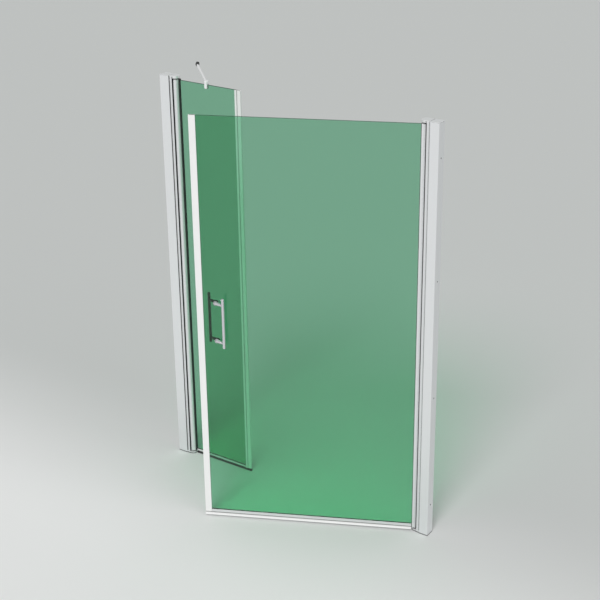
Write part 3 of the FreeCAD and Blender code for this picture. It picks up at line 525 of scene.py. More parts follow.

# %% [markdown]
# ## Handles and brace
#
# Each pull handle is a round bar on two turned feet, the outer one polished and the inner one
# near black, which is painted shade for how dark it looks behind the green glass. The brace is
# a polished bar between a wall flange, near black as painted shade for the shadow it stands in,
# and a clamp on the glass. The frame has their form too, and a turned piece has its small
# radius where the tool left it, so the same function serves.

# %% Ease the handles and the brace
BAR_EDGE = 0.5 * MM
SMALL_EDGE = 0.4 * MM
PULLS = (("outer", handle_metal, "aluminium"), ("inner", shade_painted_handle, "dark_metal"))
for pull, finish, slot in PULLS:
    eased(pull + "_handle_bar", finish, BAR_EDGE, slot=slot)
    eased(pull + "_handle_posts", finish, SMALL_EDGE, slot=slot)
eased("brace_bar", brace_metal, BAR_EDGE)
eased("brace_glass_clamp", brace_metal, SMALL_EDGE)
eased("brace_wall_flange", shade_painted_flange, BAR_EDGE)
print("with handles and brace:", len(PIECES))

# %% [markdown]
# ## Two places to work in
#
# The leaf stands open, so its pieces lie turned in the frame. A profile is easiest to draw
# where its pane runs along X. `LEAF` and `SCREEN` are the two places: in both, the tube is at
# the origin and the glass runs away from it towards minus X. A box measured in such a place
# gives the sizes that the drawn profiles need.

# %% The places of the leaf and of the fixed screen
OPEN_ANGLE = math.radians(-SWING["range_deg"][0])
SPACER_LOW, SPACER_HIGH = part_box("panel_top_spacer")
COLUMN_AXIS = (SPACER_LOW + SPACER_HIGH) / 2
LEAF = Matrix.Rotation(OPEN_ANGLE, 4, "Z")
SCREEN = (Matrix.Translation((COLUMN_AXIS.x, COLUMN_AXIS.y, 0))
          @ Matrix.Rotation(math.pi, 4, "Z"))
SIDES = (("door", LEAF), ("panel", SCREEN))


def box_in(place, node):
    """Lowest and highest corner of a frame piece, measured in a place's own axes."""
    back = place.inverted()
    corners = [back @ vertex.co for vertex in NODES[node].data.vertices]
    low = Vector([min(corner[axis] for corner in corners) for axis in range(3)])
    high = Vector([max(corner[axis] for corner in corners) for axis in range(3)])
    return low, high


print("leaf stands open by", round(math.degrees(OPEN_ANGLE), 2), "degrees")

# %% [markdown]
# ## The panes
#
# Both panes are 6 mm toughened glass. Their rims are ground, with a flat arris of just under a
# millimetre on every edge, also round the two handle holes. A bevel of one step grinds the
# arris, and a second material goes on every face but the two large ones.

# %% Grind the arris on both panes
ARRIS = 0.8 * MM
PANE_SHARP = 20
FACE_ON = 0.99


def ground_pane(node, material, square):
    """A pane whose two large faces are clear and whose rim and holes are ground."""
    pane = eased(node, material, ARRIS, steps=1, sharp=PANE_SHARP)
    pane.data.materials.append(rim_green)
    for face in pane.data.polygons:
        if abs(face.normal.dot(square)) < FACE_ON:
            face.material_index = 1
    return pane


ground_pane("door_glass", door_green, LEAF @ Vector((0, 1, 0)))
ground_pane("panel_glass", panel_green, Vector((0, 1, 0)))

# %% [markdown]
# ## One tree for all soft profiles
#
# Seals, gaskets and the wiper are extruded: a die gives them one section over their whole
# length. A Geometry Nodes tree can say the same. It takes a flat outline, rounds each corner
# by the radius that its point carries, fills the outline, pulls it to its length and closes
# the lower end. Curve to Mesh could sweep the outline too, but it can't leave the magnet
# pocket open, and Fill Curve can.

# %% Helpers that make and run Geometry Nodes trees
def geometry_tree(name, **inputs):
    """A tree with geometry in and out, and a named input of a given kind for each size."""
    tree = bpy.data.node_groups.new(name, "GeometryNodeTree")
    socket = tree.interface.new_socket
    socket("Geometry", in_out="INPUT", socket_type="NodeSocketGeometry")
    for label, kind in inputs.items():
        socket(label.replace("_", " "), in_out="INPUT", socket_type="NodeSocket" + kind)
    socket("Geometry", in_out="OUTPUT", socket_type="NodeSocketGeometry")
    return tree, tree.nodes.new("NodeGroupInput"), tree.nodes.new("NodeGroupOutput")


def run_tree(tree, source, values):
    """Run a tree on an object and give back what it makes as a plain mesh."""
    modifier = source.modifiers.new(tree.name, "NODES")
    modifier.node_group = tree
    for socket in tree.interface.items_tree:
        if socket.in_out == "INPUT" and socket.name in values:
            modifier[socket.identifier] = values[socket.name]
    ready = source.evaluated_get(bpy.context.evaluated_depsgraph_get())
    mesh = bpy.data.meshes.new_from_object(ready)
    source.modifiers.remove(modifier)
    bpy.data.objects.remove(source)
    return mesh


def finish_tree(tree, start, last, output, end):
    """Every tree ends in real faces that carry the finish."""
    real = tree.nodes.new("GeometryNodeRealizeInstances")
    finish = tree.nodes.new("GeometryNodeSetMaterial")
    connect(tree, last, output, real, "Geometry")
    connect(tree, real, "Geometry", finish, "Geometry")
    connect(tree, start, "Finish", finish, "Material")
    connect(tree, finish, "Geometry", end, "Geometry")


print("helpers:", geometry_tree.__name__, run_tree.__name__, finish_tree.__name__)

# %% Helpers that draw and round outlines
def outline_object(name, outlines, closed=True):
    """Flat polylines; each point is across, up and the radius of its corner."""
    curve = bpy.data.curves.new(name, "CURVE")
    curve.dimensions = "3D"
    for outline in outlines:
        line = curve.splines.new("POLY")
        line.points.add(len(outline) - 1)
        for point, (across, up, radius) in zip(line.points, outline):
            point.co = (across, up, 0, 1)
            point.radius = radius
        line.use_cyclic_u = closed
    source = bpy.data.objects.new(name, curve)
    bpy.context.scene.collection.objects.link(source)
    return source


def rounded_corners(tree, start, steps):
    """Nodes that round each corner of the incoming outline by its point's radius."""
    carried = tree.nodes.new("GeometryNodeInputRadius")
    corners = add_node(tree, "GeometryNodeFilletCurve", Limit_Radius=True)
    corners.mode = "POLY"
    connect(tree, start, "Geometry", corners, "Curve")
    connect(tree, start, steps, corners, "Count")
    connect(tree, carried, "Radius", corners, "Radius")
    return corners


def mirrored(centre, right, left=None):
    """A closed outline from its half on one side of the centre, and from that on the other."""
    other = reversed(left or right)
    return ([(centre + across, up, radius) for across, up, radius in right]
            + [(centre - across, up, radius) for across, up, radius in other])


print("2 points mirror to", len(mirrored(0, [(1, 0, 0), (1, 1, 0)])), "points")

# %% The tree that extrudes an outline
def along_z(tree, source, output):
    """A vector along Z that is as long as an output says."""
    vector = tree.nodes.new("ShaderNodeCombineXYZ")
    connect(tree, source, output, vector, "Z")
    return vector


def extrusion_tree():
    """Outline in, closed profile out, from Start upwards over Length."""
    tree, start, end = geometry_tree("extruded_profile", Corner_Steps="Int", Start="Float",
                                     Length="Float", Finish="Material")
    corners = rounded_corners(tree, start, "Corner Steps")
    section = tree.nodes.new("GeometryNodeFillCurve")
    section.mode = "TRIANGLES"
    connect(tree, corners, "Curve", section, "Curve")
    lower = tree.nodes.new("GeometryNodeTransform")
    connect(tree, section, "Mesh", lower, "Geometry")
    connect(tree, along_z(tree, start, "Start"), "Vector", lower, "Translation")
    pull = add_node(tree, "GeometryNodeExtrudeMesh", Individual=False)
    connect(tree, lower, "Geometry", pull, "Mesh")
    connect(tree, along_z(tree, start, "Length"), "Vector", pull, "Offset")
    under = tree.nodes.new("GeometryNodeFlipFaces")
    connect(tree, lower, "Geometry", under, "Mesh")
    both = tree.nodes.new("GeometryNodeJoinGeometry")
    connect(tree, pull, "Mesh", both, "Geometry")
    connect(tree, under, "Mesh", both, "Geometry")
    closed = add_node(tree, "GeometryNodeMergeByDistance", Distance=WELD)
    connect(tree, both, "Geometry", closed, "Geometry")
    finish_tree(tree, start, closed, "Geometry", end)
    return tree


EXTRUDE = extrusion_tree()
print("nodes in the extrusion tree:", len(EXTRUDE.nodes))

# %% Use the tree for a profile
CORNER_STEPS = 4
PROFILE_SHARP = 40


def extruded(name, outlines, low, high, material, place):
    """The mesh of one profile from its low end to its high end, put in its place."""
    source = outline_object(name, outlines)
    mesh = run_tree(EXTRUDE, source, {"Corner Steps": CORNER_STEPS, "Start": low,
                                      "Length": high - low, "Finish": material})
    mesh.name = name
    mesh.transform(place)
    return mesh


def add_profile(node, mesh, material):
    """Let an extruded profile stand for its frame piece."""
    mesh = shaded(mesh, PROFILE_SHARP)
    return keep_piece(mesh.name, mesh, material, BODY_OF[node], SLOT_OF[node], node)


print("a rounded corner has", CORNER_STEPS, "steps")

# %% [markdown]
# ## Edge seals with their magnet pockets
#
# A white plastic profile clips over each free glass edge. Its back carries a flat pocket with
# a magnet strip, and the two pockets meet when the door is closed. The tip is fully rounded,
# because it is what a hand or a heel touches. Two outlines draw the section, one for the skin
# and one for the pocket, and all their sizes come from the pieces that they have to fit.

# %% Extrude the two edge seals
TIP_ROUND = 1.8 * MM
LIP_ROUND = 0.6 * MM
POCKET_WALL = 0.7 * MM
POCKET_ROOM = 0.1 * MM


def edge_seal_outlines(place, pane, seal, magnet):
    """The skin of a seal and the hole for its magnet, in the place of its pane."""
    glass_low, glass_high = box_in(place, pane)
    low, high = box_in(place, seal)
    strip_low, strip_high = box_in(place, magnet)
    tip, end, rim = low.x, high.x, glass_low.x
    outer, inner, face = low.y, glass_high.y + (glass_low.y - low.y), high.y
    left = strip_low.x - POCKET_ROOM
    right = strip_high.x + POCKET_ROOM
    bottom = strip_low.y - POCKET_ROOM
    top = strip_high.y + POCKET_ROOM
    skin = [(tip, outer, TIP_ROUND), (end, outer, LIP_ROUND), (end, glass_low.y, 0.0),
            (rim, glass_low.y, 0.0), (rim, glass_high.y, 0.0), (end, glass_high.y, 0.0),
            (end, inner, LIP_ROUND), (right + POCKET_WALL, inner, LIP_ROUND),
            (right + POCKET_WALL, face, LIP_ROUND), (left - POCKET_WALL, face, LIP_ROUND),
            (left - POCKET_WALL, inner, LIP_ROUND), (tip, inner, TIP_ROUND)]
    pocket = [(left, bottom, 0.0), (right, bottom, 0.0), (right, top, 0.0), (left, top, 0.0)]
    return [skin, pocket]


for side, place in SIDES:
    seal = side + "_edge_seal"
    outlines = edge_seal_outlines(place, side + "_glass", seal, side + "_magnet_strip")
    low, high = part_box(seal)
    mesh = extruded(seal + "_profile", outlines, low.z, high.z, white_seal, place)
    piece = add_profile(seal, mesh, white_seal)
    print(piece.name, "faces:", len(piece.data.polygons))

# %% [markdown]
# ## Drip seal and foot strip
#
# Under the door's rail hangs a soft seal with two curved fins: the outer one throws the water
# back, the inner one wipes the ground as the door turns. A narrow neck under the rail lets
# them bend. The fixed pane stands on a firmer strip that spreads into a foot. Both run along
# the pane, so their outlines are drawn across and up, and pulled along X.

# %% The section of a fin
NECK = 3.0 * MM
NECK_RISE = 1.8 * MM
NECK_ROUND = 0.3 * MM
SHOULDER = 5.0 * MM
SHOULDER_DROP = 1.2 * MM
SHOULDER_ROUND = 0.6 * MM
FIN = 1.4 * MM
FIN_ROOT = SHOULDER + 0.2 * MM
FIN_ROOT_RISE = 7.6 * MM
FIN_CURVE = 5.0 * MM
ARCH = 2.9 * MM
ARCH_DROP = 1.0 * MM
ARCH_CURVE = 2.4 * MM


def fin_half(rail, tip, reach):
    """From the neck over the shoulder and down to a fin's tip, and back up into the arch."""
    return [(NECK, rail, 0.0), (NECK, rail - NECK_RISE, NECK_ROUND),
            (SHOULDER, rail - NECK_RISE - SHOULDER_DROP, SHOULDER_ROUND),
            (FIN_ROOT, tip + FIN_ROOT_RISE, FIN_CURVE), (reach, tip, LIP_ROUND),
            (reach - FIN, tip, LIP_ROUND), (ARCH, tip + FIN_ROOT_RISE - ARCH_DROP, ARCH_CURVE)]


print("a fin's arch is", round((FIN_ROOT_RISE - ARCH_DROP) / MM, 1), "mm high")

# %% Extrude the drip seal with its fins and its key
KEY_NECK = 1.05 * MM
KEY_HEAD = 2.05 * MM
KEY_RISE = 1.35 * MM
# A section that is drawn across and up runs along X after this turn.
LENGTHWISE = Matrix(((0, 0, 1, 0), (1, 0, 0, 0), (0, 1, 0, 0), (0, 0, 0, 1)))


def joined(name, *meshes):
    """Several meshes as one."""
    whole = bmesh.new()
    for mesh in meshes:
        whole.from_mesh(mesh)
    result = bpy.data.meshes.new(name)
    whole.to_mesh(result)
    whole.free()
    return result


drip_low, drip_high = box_in(LEAF, "door_drip_seal")
rail_low, rail_high = box_in(LEAF, "door_bottom_rail")
centre = (rail_low.y + rail_high.y) / 2
reach_in = drip_high.y - centre
reach_out = centre - drip_low.y
fin_outline = mirrored(centre, fin_half(rail_low.z, drip_low.z, reach_in),
                       fin_half(rail_low.z, drip_low.z, reach_out))
fins = extruded("fins", [fin_outline], drip_low.x, drip_high.x, white_drip,
                LEAF @ LENGTHWISE)
key_foot = rail_low.z + KEY_RISE
key_outline = mirrored(centre, [(KEY_NECK, rail_low.z, 0.0), (KEY_NECK, key_foot, 0.0),
                                (KEY_HEAD, key_foot, 0.0), (KEY_HEAD, drip_high.z, 0.0)])
key = extruded("key", [key_outline], rail_low.x, rail_high.x, white_drip,
               LEAF @ LENGTHWISE)
drip = joined("door_drip_seal_profile", fins, key)
add_profile("door_drip_seal", drip, white_drip)
print("drip seal fins reach", round(reach_in / MM, 1), "mm in and", round(reach_out / MM, 1),
      "mm out")

# %% Extrude the foot strip under the fixed pane
FOOT_RISE = 1.6 * MM
FOOT_ROUND = 0.4 * MM
STEP_ROUND = 0.7 * MM
WAIST = 4.4 * MM
WAIST_RISE = 3.4 * MM
WAIST_CURVE = 1.4 * MM
TOP_ROUND = 0.3 * MM
low, high = box_in(SCREEN, "panel_bottom_seal")
centre = (low.y + high.y) / 2
half_foot = (high.y - low.y) / 2
strip_outline = mirrored(centre, [(half_foot, low.z, FOOT_ROUND),
                                  (half_foot, low.z + FOOT_RISE, STEP_ROUND),
                                  (WAIST, low.z + WAIST_RISE, WAIST_CURVE),
                                  (WAIST, high.z, TOP_ROUND)])
strip = extruded("panel_bottom_seal_profile", [strip_outline], low.x, high.x, black_rubber,
                 SCREEN @ LENGTHWISE)
add_profile("panel_bottom_seal", strip, black_rubber)
print("foot strip is", round((high.z - low.z) / MM, 1), "mm high")

# %% [markdown]
# ## Gaskets and wiper
#
# Black rubber grips each pane in its tube; only its two lips show as a dark line beside the
# glass. The wiper sits on the post's inner lip and leans its fin towards the turning stile.

# %% Extrude the glazing gaskets
LIP_ROOT = 4.7 * MM
LIP_TIP = 4.1 * MM
LIP_DEPTH = 2.1 * MM
LIP_END_ROUND = 0.5 * MM
MOUTH_ROUND = 0.2 * MM
GASKET_SKIN = 1.0 * MM


def gasket_outline(place, gasket, pane):
    """A narrow channel round the pane's edge with two lips at its mouth."""
    low, high = box_in(place, gasket)
    glass_low, glass_high = box_in(place, pane)
    centre = (low.y + high.y) / 2
    half_glass = (glass_high.y - glass_low.y) / 2
    slot = half_glass + GASKET_SKIN
    jaw = low.x + LIP_DEPTH
    half = [(slot, high.x, 0.0), (slot, jaw, 0.0), (LIP_ROOT, jaw, LIP_END_ROUND),
            (LIP_TIP, low.x, LIP_END_ROUND), (half_glass, low.x, MOUTH_ROUND),
            (half_glass, glass_high.x, 0.0)]
    return [[(along, across, radius) for across, along, radius in mirrored(centre, half)]]


for side, place in SIDES:
    gasket = side + "_gasket"
    low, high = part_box(gasket)
    outlines = gasket_outline(place, gasket, side + "_glass")
    mesh = extruded(gasket + "_profile", outlines, low.z, high.z, black_rubber, place)
    add_profile(gasket, mesh, black_rubber)
    print(gasket, "is", round((high.z - low.z) / MM), "mm long")

# %% Extrude the wiper with its leaning fin
WIPER_ROOT = 4.5 * MM
WIPER_SKIN = 1.0 * MM
WIPER_STEP = 1.3 * MM
FIN_SKIN = 0.9 * MM
FIN_BEND = (2.1 * MM, 1.5 * MM)
SMALL_ROUND = 0.2 * MM
STEP_IN_ROUND = 0.6 * MM
STEP_OUT_ROUND = 0.4 * MM
BEND_ROUND = 2.0 * MM
low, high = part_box("post_wiper")
root_left = high.x - WIPER_ROOT
root_low = high.y - WIPER_SKIN
bend_across = low.x + FIN_BEND[0]
bend_up = low.y + FIN_BEND[1]
# The fin leans, so its two sides stand apart by shares of its skin across and up.
wiper_outline = [(root_left, high.y, SMALL_ROUND), (high.x, high.y, SMALL_ROUND),
                 (high.x, root_low, SMALL_ROUND),
                 (root_left + WIPER_STEP, root_low, STEP_IN_ROUND),
                 (bend_across + FIN_SKIN * 0.7, bend_up - FIN_SKIN * 0.2, BEND_ROUND),
                 (low.x + FIN_SKIN * 0.5, low.y, SMALL_ROUND),
                 (low.x, low.y + FIN_SKIN * 0.6, SMALL_ROUND),
                 (bend_across, bend_up + FIN_SKIN * 0.7, BEND_ROUND),
                 (root_left, root_low, STEP_OUT_ROUND)]
wiper = extruded("post_wiper_profile", [wiper_outline], low.z, high.z, black_rubber,
                 Matrix.Identity(4))
add_profile("post_wiper", wiper, black_rubber)
print("wiper fin leans over", round((root_left - low.x) / MM, 1), "mm")

# %% [markdown]
# ## Screws
#
# Three pan-head screws lock each post in its channel, and headless screws with a hexagon
# socket hold the handles' feet and the brace. All of them are turned parts. The tree sweeps
# half of the section round a circle, cuts the drive with a boolean, and sets copies on a line
# of points, each spun by a random angle, because no one lines screws up. A curve can't be
# swept round a circle of no size, so the circle has a radius, `TURNING`, and the half section
# is drawn that much nearer.

# %% The cutters for a cross recess and for a hexagon socket
def cross_cutter(tree, start):
    """A four-pointed star pulled through the head, with tapered wings."""
    half = calculate(tree, "MULTIPLY", (start, "Drive Width"), 0.5)
    star = add_node(tree, "GeometryNodeCurveStar", Points=4, Twist=0.0)
    connect(tree, half, "Value", star, "Outer Radius")
    connect(tree, start, "Blade", star, "Inner Radius")
    below = calculate(tree, "MULTIPLY", (start, "Drive Depth"), -0.5)
    line = tree.nodes.new("GeometryNodeCurvePrimitiveLine")
    connect(tree, along_z(tree, below, "Value"), "Vector", line, "Start")
    connect(tree, along_z(tree, start, "Drive Depth"), "Vector", line, "End")
    solid = add_node(tree, "GeometryNodeCurveToMesh", Fill_Caps=True)
    connect(tree, line, "Curve", solid, "Curve")
    connect(tree, star, "Curve", solid, "Profile Curve")
    return solid


def hexagon_cutter(tree, start):
    """A six-sided bar; the width between its flats is the drive's."""
    bar = add_node(tree, "GeometryNodeMeshCylinder", Vertices=6)
    half = calculate(tree, "MULTIPLY", (start, "Drive Width"), 1 / math.sqrt(3))
    connect(tree, half, "Value", bar, "Radius")
    connect(tree, start, "Drive Depth", bar, "Depth")
    return bar


print("cutters:", cross_cutter.__name__, hexagon_cutter.__name__)

# %% The tree that turns, drives and repeats a screw
TURNING = 1.0 * MM
# Random Value has several inputs named Max and outputs named Value; these are the float ones.
FLOAT_MAX = 3
FLOAT_OUT = 1


def screw_tree(name, cutter):
    """Half section in, a row of finished screws out; a cutter makes the drive."""
    tree, start, end = geometry_tree(name, Corner_Steps="Int", Sides="Int", Head_Top="Float",
                                     Drive_Width="Float", Blade="Float", Drive_Depth="Float",
                                     Count="Int", Step="Vector", Axis="Rotation", Seed="Int",
                                     Finish="Material")
    section = rounded_corners(tree, start, "Corner Steps")
    circle = add_node(tree, "GeometryNodeCurvePrimitiveCircle", Radius=TURNING)
    connect(tree, start, "Sides", circle, "Resolution")
    turned = tree.nodes.new("GeometryNodeCurveToMesh")
    connect(tree, circle, "Curve", turned, "Curve")
    connect(tree, section, "Curve", turned, "Profile Curve")
    outward = tree.nodes.new("GeometryNodeFlipFaces")
    connect(tree, turned, "Mesh", outward, "Mesh")
    closed = add_node(tree, "GeometryNodeMergeByDistance", Distance=WELD)
    connect(tree, outward, "Mesh", closed, "Geometry")
    drive = tree.nodes.new("GeometryNodeMeshBoolean")
    drive.operation = "DIFFERENCE"
    connect(tree, closed, "Geometry", drive, "Mesh 1")
    blade = tree.nodes.new("GeometryNodeTransform")
    connect(tree, cutter(tree, start), "Mesh", blade, "Geometry")
    connect(tree, along_z(tree, start, "Head Top"), "Vector", blade, "Translation")
    connect(tree, blade, "Geometry", drive, "Mesh 2")
    line = tree.nodes.new("GeometryNodeMeshLine")
    connect(tree, start, "Count", line, "Count")
    connect(tree, start, "Step", line, "Offset")
    chance = add_node(tree, "FunctionNodeRandomValue")
    chance.data_type = "FLOAT"
    chance.inputs[FLOAT_MAX].default_value = math.tau
    connect(tree, start, "Seed", chance, "Seed")
    own = tree.nodes.new("FunctionNodeEulerToRotation")
    connect(tree, along_z(tree, chance, FLOAT_OUT), "Vector", own, "Euler")
    both = tree.nodes.new("FunctionNodeRotateRotation")
    both.rotation_space = "LOCAL"
    connect(tree, start, "Axis", both, "Rotation")
    connect(tree, own, "Rotation", both, "Rotate By")
    repeat = tree.nodes.new("GeometryNodeInstanceOnPoints")
    connect(tree, line, "Mesh", repeat, "Points")
    connect(tree, drive, "Mesh", repeat, "Instance")
    connect(tree, both, "Rotation", repeat, "Rotation")
    finish_tree(tree, start, repeat, "Instances", end)
    return tree


CROSS_SCREWS = screw_tree("cross_recess_screws", cross_cutter)
SOCKET_SCREWS = screw_tree("hexagon_socket_screws", hexagon_cutter)
print("nodes in the screw trees:", len(CROSS_SCREWS.nodes), len(SOCKET_SCREWS.nodes))

# %% Use a tree for a row of screws
SCREW_SIDES = 24
SCREW_STEPS = 5
SCREW_SEED = 7
SCREW_SHARP = 30


def screws(name, tree, section, values, place):
    """A row of equal screws; the section is radius, height and corner radius."""
    half = [(radius - TURNING, -height, corner) for radius, height, corner in section]
    source = outline_object(name, [half], closed=False)
    mesh = run_tree(tree, source, {"Corner Steps": SCREW_STEPS, "Sides": SCREW_SIDES,
                                   "Seed": SCREW_SEED, "Finish": screw_steel, **values})
    mesh.name = name
    mesh.transform(place)
    return shaded(mesh, SCREW_SHARP)


print("a screw has", SCREW_SIDES, "sides")

# %% Pan-head screws that lock the posts
HEAD_RISE = 2.0 * MM
RIM_SHARE = 0.9
RIM_ROUND = 0.1 * MM
CROWN_ROUND = 1.1 * MM
SHANK = 1.9 * MM
SHANK_ROUND = 0.5 * MM
CROSS_DRIVE = {"Head Top": HEAD_RISE, "Drive Width": 4.2 * MM, "Blade": 0.75 * MM,
               "Drive Depth": 2.4 * MM}
TOWARDS_SHOWER = (-math.pi / 2, 0, 0)
for side in ("hinge", "panel"):
    node = side + "_post_screws"
    low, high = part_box(node)
    head = (high.x - low.x) / 2
    reach = high.y - low.y - HEAD_RISE
    section = [(0, -reach, 0), (SHANK, -reach, SHANK_ROUND), (SHANK, 0, 0),
               (head, 0, RIM_ROUND), (head, HEAD_RISE * RIM_SHARE, CROWN_ROUND),
               (0, HEAD_RISE, 0)]
    first = Vector(((low.x + high.x) / 2, high.y - HEAD_RISE, low.z + head))
    pitch = (high.z - low.z - head * 2) / 2
    row = {**CROSS_DRIVE, "Count": 3, "Step": (0, 0, pitch), "Axis": TOWARDS_SHOWER}
    mesh = screws(node + "_driven", CROSS_SCREWS, section, row, Matrix.Translation(first))
    keep_piece(mesh.name, mesh, screw_steel, BODY_OF[node], SLOT_OF[node], node)
    print(node, "stand", round(pitch / MM), "mm apart")

# %% Socket screws under the handles' feet
GRUB = 1.5 * MM
GRUB_LENGTH = 3.0 * MM
GRUB_END_ROUND = 0.3 * MM
GRUB_RIM_ROUND = 0.2 * MM
PROUD = 0.15 * MM
GRUB_SECTION = [(0, -GRUB_LENGTH, 0), (GRUB, -GRUB_LENGTH, GRUB_END_ROUND),
                (GRUB, 0, GRUB_RIM_ROUND), (0, 0, 0)]
GRUB_DRIVE = {"Head Top": 0.0, "Drive Width": 1.5 * MM, "Drive Depth": 2.4 * MM}
DOWN = (math.pi, 0, 0)
FOOT_HALF = 2.5 * MM
washer_low, washer_high = box_in(LEAF, "handle_washers")
foot_radius = (washer_high.x - washer_low.x) / 2
hole_line = (washer_low.x + washer_high.x) / 2
pitch = washer_high.z - washer_low.z - foot_radius * 2
row = {**GRUB_DRIVE, "Count": 2, "Step": (0, 0, pitch), "Axis": DOWN}
rows = []
for foot_middle in (washer_low.y - FOOT_HALF, washer_high.y + FOOT_HALF):
    place = LEAF @ Matrix.Translation((hole_line, foot_middle, washer_low.z - PROUD))
    rows.append(screws("foot_row", SOCKET_SCREWS, GRUB_SECTION, row, place))
keep_piece("handle_socket_screws", joined("handle_socket_screws", *rows), screw_steel,
           BODY_OF["handle_studs"], SLOT_OF["handle_studs"])
print("handle feet are", round(pitch / MM), "mm apart")

# %% Socket screws that pinch the brace
FLANGE_RADIUS = 10 * MM
SOCKET_RADIUS = 8 * MM
ALONG_BRACE = 19 * MM
CLAMP_SCREW_RISE = 9 * MM
flange_low, flange_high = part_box("brace_wall_flange")
clamp_low, clamp_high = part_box("brace_glass_clamp")
step = ALONG_BRACE * math.sqrt(0.5)
socket_low = flange_low.z + FLANGE_RADIUS - SOCKET_RADIUS
socket_place = Matrix.Translation((flange_low.x + step, flange_high.y - FLANGE_RADIUS - step,
                                   socket_low - PROUD))
clamp_place = Matrix.Translation(((clamp_low.x + clamp_high.x) / 2, clamp_high.y + PROUD,
                                  clamp_low.z + CLAMP_SCREW_RISE))
brace_rows = [screws(name, SOCKET_SCREWS, GRUB_SECTION,
                     {**GRUB_DRIVE, "Count": 1, "Axis": axis}, place)
              for name, axis, place in (("socket_row", DOWN, socket_place),
                                        ("clamp_row", TOWARDS_SHOWER, clamp_place))]
keep_piece("brace_socket_screws", joined("brace_socket_screws", *brace_rows), screw_steel,
           BODY_OF["brace_bar"], SLOT_OF["handle_studs"])
print("the brace's axis is", round((flange_low.z + FLANGE_RADIUS) / MM), "mm up")

# %% [markdown]
# ## The last small pieces
#
# The handles' washers and the liner of the brace clamp are cut from soft sheet, so they keep
# the frame's form with a rolled edge. Pins, bushes, plugs and magnets are inside: they only
# need their finish.

# %% Ease the sheet rubber pieces
SOFT_EDGE = 0.3 * MM
for soft in ("handle_washers", "brace_clamp_liner"):
    eased(soft, black_rubber, SOFT_EDGE)
print("pieces with a form of their own:", len(PIECES))

# %% Dress the pieces that stay as the frame has them
PLAIN = {"steel": screw_steel, "nylon": dark_nylon, "magnet": magnet_strip}
for node, item in NODES.items():
    if not item.hide_render:
        item.data.materials.clear()
        item.data.materials.append(PLAIN[SLOT_OF[node]])
print("plain pieces:", sum(not item.hide_render for item in NODES.values()))

# %% [markdown]
# ## Studio
#
# A pale floor runs far behind the object, so that the camera sees nothing else. Its colour is
# painted light and shade: palest in front of the object and a little greyer behind it, as paper
# is under a studio lamp, and pale profiles stand out against it. Two wide suns and an even sky
# give soft light at a plain level. The camera, metal and glass see the sky in the floor's far
# tone, so no horizon shows from low down.

# %% Floor
FRONT_PAINTED_LIGHT_TONE = (0.84, 0.85, 0.845)
BACK_PAINTED_SHADE_TONE = (0.58, 0.60, 0.59)
FADE_FROM = -0.9
FADE_TO = 0.5
FLOOR_HALF = 60.0
FLOOR_DROP = 1 * MM
FLOOR_ROUGH = 0.9


def build_floor():
    """One large face whose tone goes from the front one to the back one along Y, painted light in front and
    painted shade behind.
    """
    corners = [(across * FLOOR_HALF, along * FLOOR_HALF, 0)
               for across, along in ((-1, -1), (1, -1), (1, 1), (-1, 1))]
    mesh = bpy.data.meshes.new("studio_floor")
    mesh.from_pydata(corners, [], [(0, 1, 2, 3)])
    material, tree, output = blank_material("pale_studio_floor")
    place = tree.nodes.new("ShaderNodeTexCoord")
    depth = tree.nodes.new("ShaderNodeSeparateXYZ")
    connect(tree, place, "Object", depth, "Vector")
    fade = add_node(tree, "ShaderNodeMapRange", From_Min=FADE_FROM, From_Max=FADE_TO)
    fade.interpolation_type = "SMOOTHSTEP"
    connect(tree, depth, "Y", fade, "Value")
    tone = blend_colours(tree, fade, "Result", FRONT_PAINTED_LIGHT_TONE, BACK_PAINTED_SHADE_TONE)
    shader = add_node(tree, "ShaderNodeBsdfPrincipled", Roughness=FLOOR_ROUGH)
    connect(tree, tone, "Result", shader, "Base Color")
    connect(tree, shader, "BSDF", output, "Surface")
    mesh.materials.append(material)
    floor = bpy.data.objects.new("studio_floor", mesh)
    floor.location.z = -FLOOR_DROP
    bpy.context.scene.collection.objects.link(floor)
    floor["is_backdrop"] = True


build_floor()
print("floor tone runs from", FRONT_PAINTED_LIGHT_TONE, "to", BACK_PAINTED_SHADE_TONE)

# %% Sky
SKY_STRENGTH = 0.45
LIGHT_ON_FLOOR = 0.90


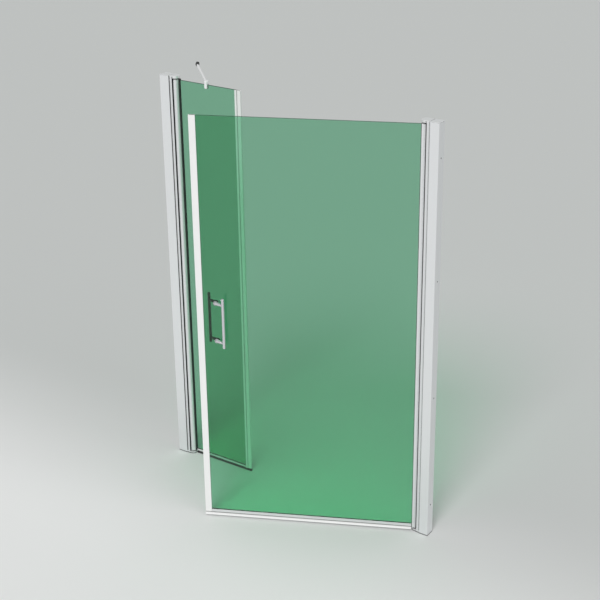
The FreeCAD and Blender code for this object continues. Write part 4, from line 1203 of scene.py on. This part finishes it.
def build_sky():
    """An even sky that camera, metal and glass see in the far floor's tone."""
    world = bpy.data.worlds.new("studio_sky")
    world.use_nodes = True
    tree = world.node_tree
    tree.nodes.clear()
    light = add_node(tree, "ShaderNodeBackground", Color=(1, 1, 1, 1),
                     Strength=SKY_STRENGTH)
    seen = add_node(tree, "ShaderNodeBackground", Color=(*BACK_PAINTED_SHADE_TONE, 1),
                    Strength=LIGHT_ON_FLOOR)
    ray = tree.nodes.new("ShaderNodeLightPath")
    some = calculate(tree, "MAXIMUM", (ray, "Is Camera Ray"), (ray, "Is Glossy Ray"))
    every = calculate(tree, "MAXIMUM", (some, "Value"), (ray, "Is Transmission Ray"))
    choose = tree.nodes.new("ShaderNodeMixShader")
    connect(tree, every, "Value", choose, "Fac")
    connect(tree, light, "Background", choose, 1)
    connect(tree, seen, "Background", choose, 2)
    output = tree.nodes.new("ShaderNodeOutputWorld")
    connect(tree, choose, "Shader", output, "Surface")
    bpy.context.scene.world = world


build_sky()
print("sky light:", SKY_STRENGTH, "and seen:", LIGHT_ON_FLOOR)

# %% Lamps
def hang_sun(name, turn, rise, strength, width):
    """A sun; turn and rise say where it stands, width how soft it is, all in degrees."""
    data = bpy.data.lights.new(name, "SUN")
    data.energy = strength
    data.angle = math.radians(width)
    lamp = bpy.data.objects.new(name, data)
    lamp.rotation_euler = (math.radians(90 - rise), 0, math.radians(turn))
    bpy.context.scene.collection.objects.link(lamp)


hang_sun("key_light", turn=15, rise=45, strength=1.65, width=22)
hang_sun("fill_light", turn=80, rise=35, strength=0.3, width=40)
bpy.context.scene.view_settings.view_transform = "Standard"
print("lamps:", [lamp.name for lamp in bpy.data.lights])

# %% [markdown]
# ## Measuring
#
# Fine form must not make the object larger than its frame. Both boxes are measured, and
# the print shows how far their corners moved.

# %% Measure and finish
VISUAL_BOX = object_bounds()
moved = [(seen - built).length for seen, built in zip(VISUAL_BOX, FRAME_BOX)]
print("the box's corners moved by", [round(distance / MM, 2) for distance in moved], "mm")
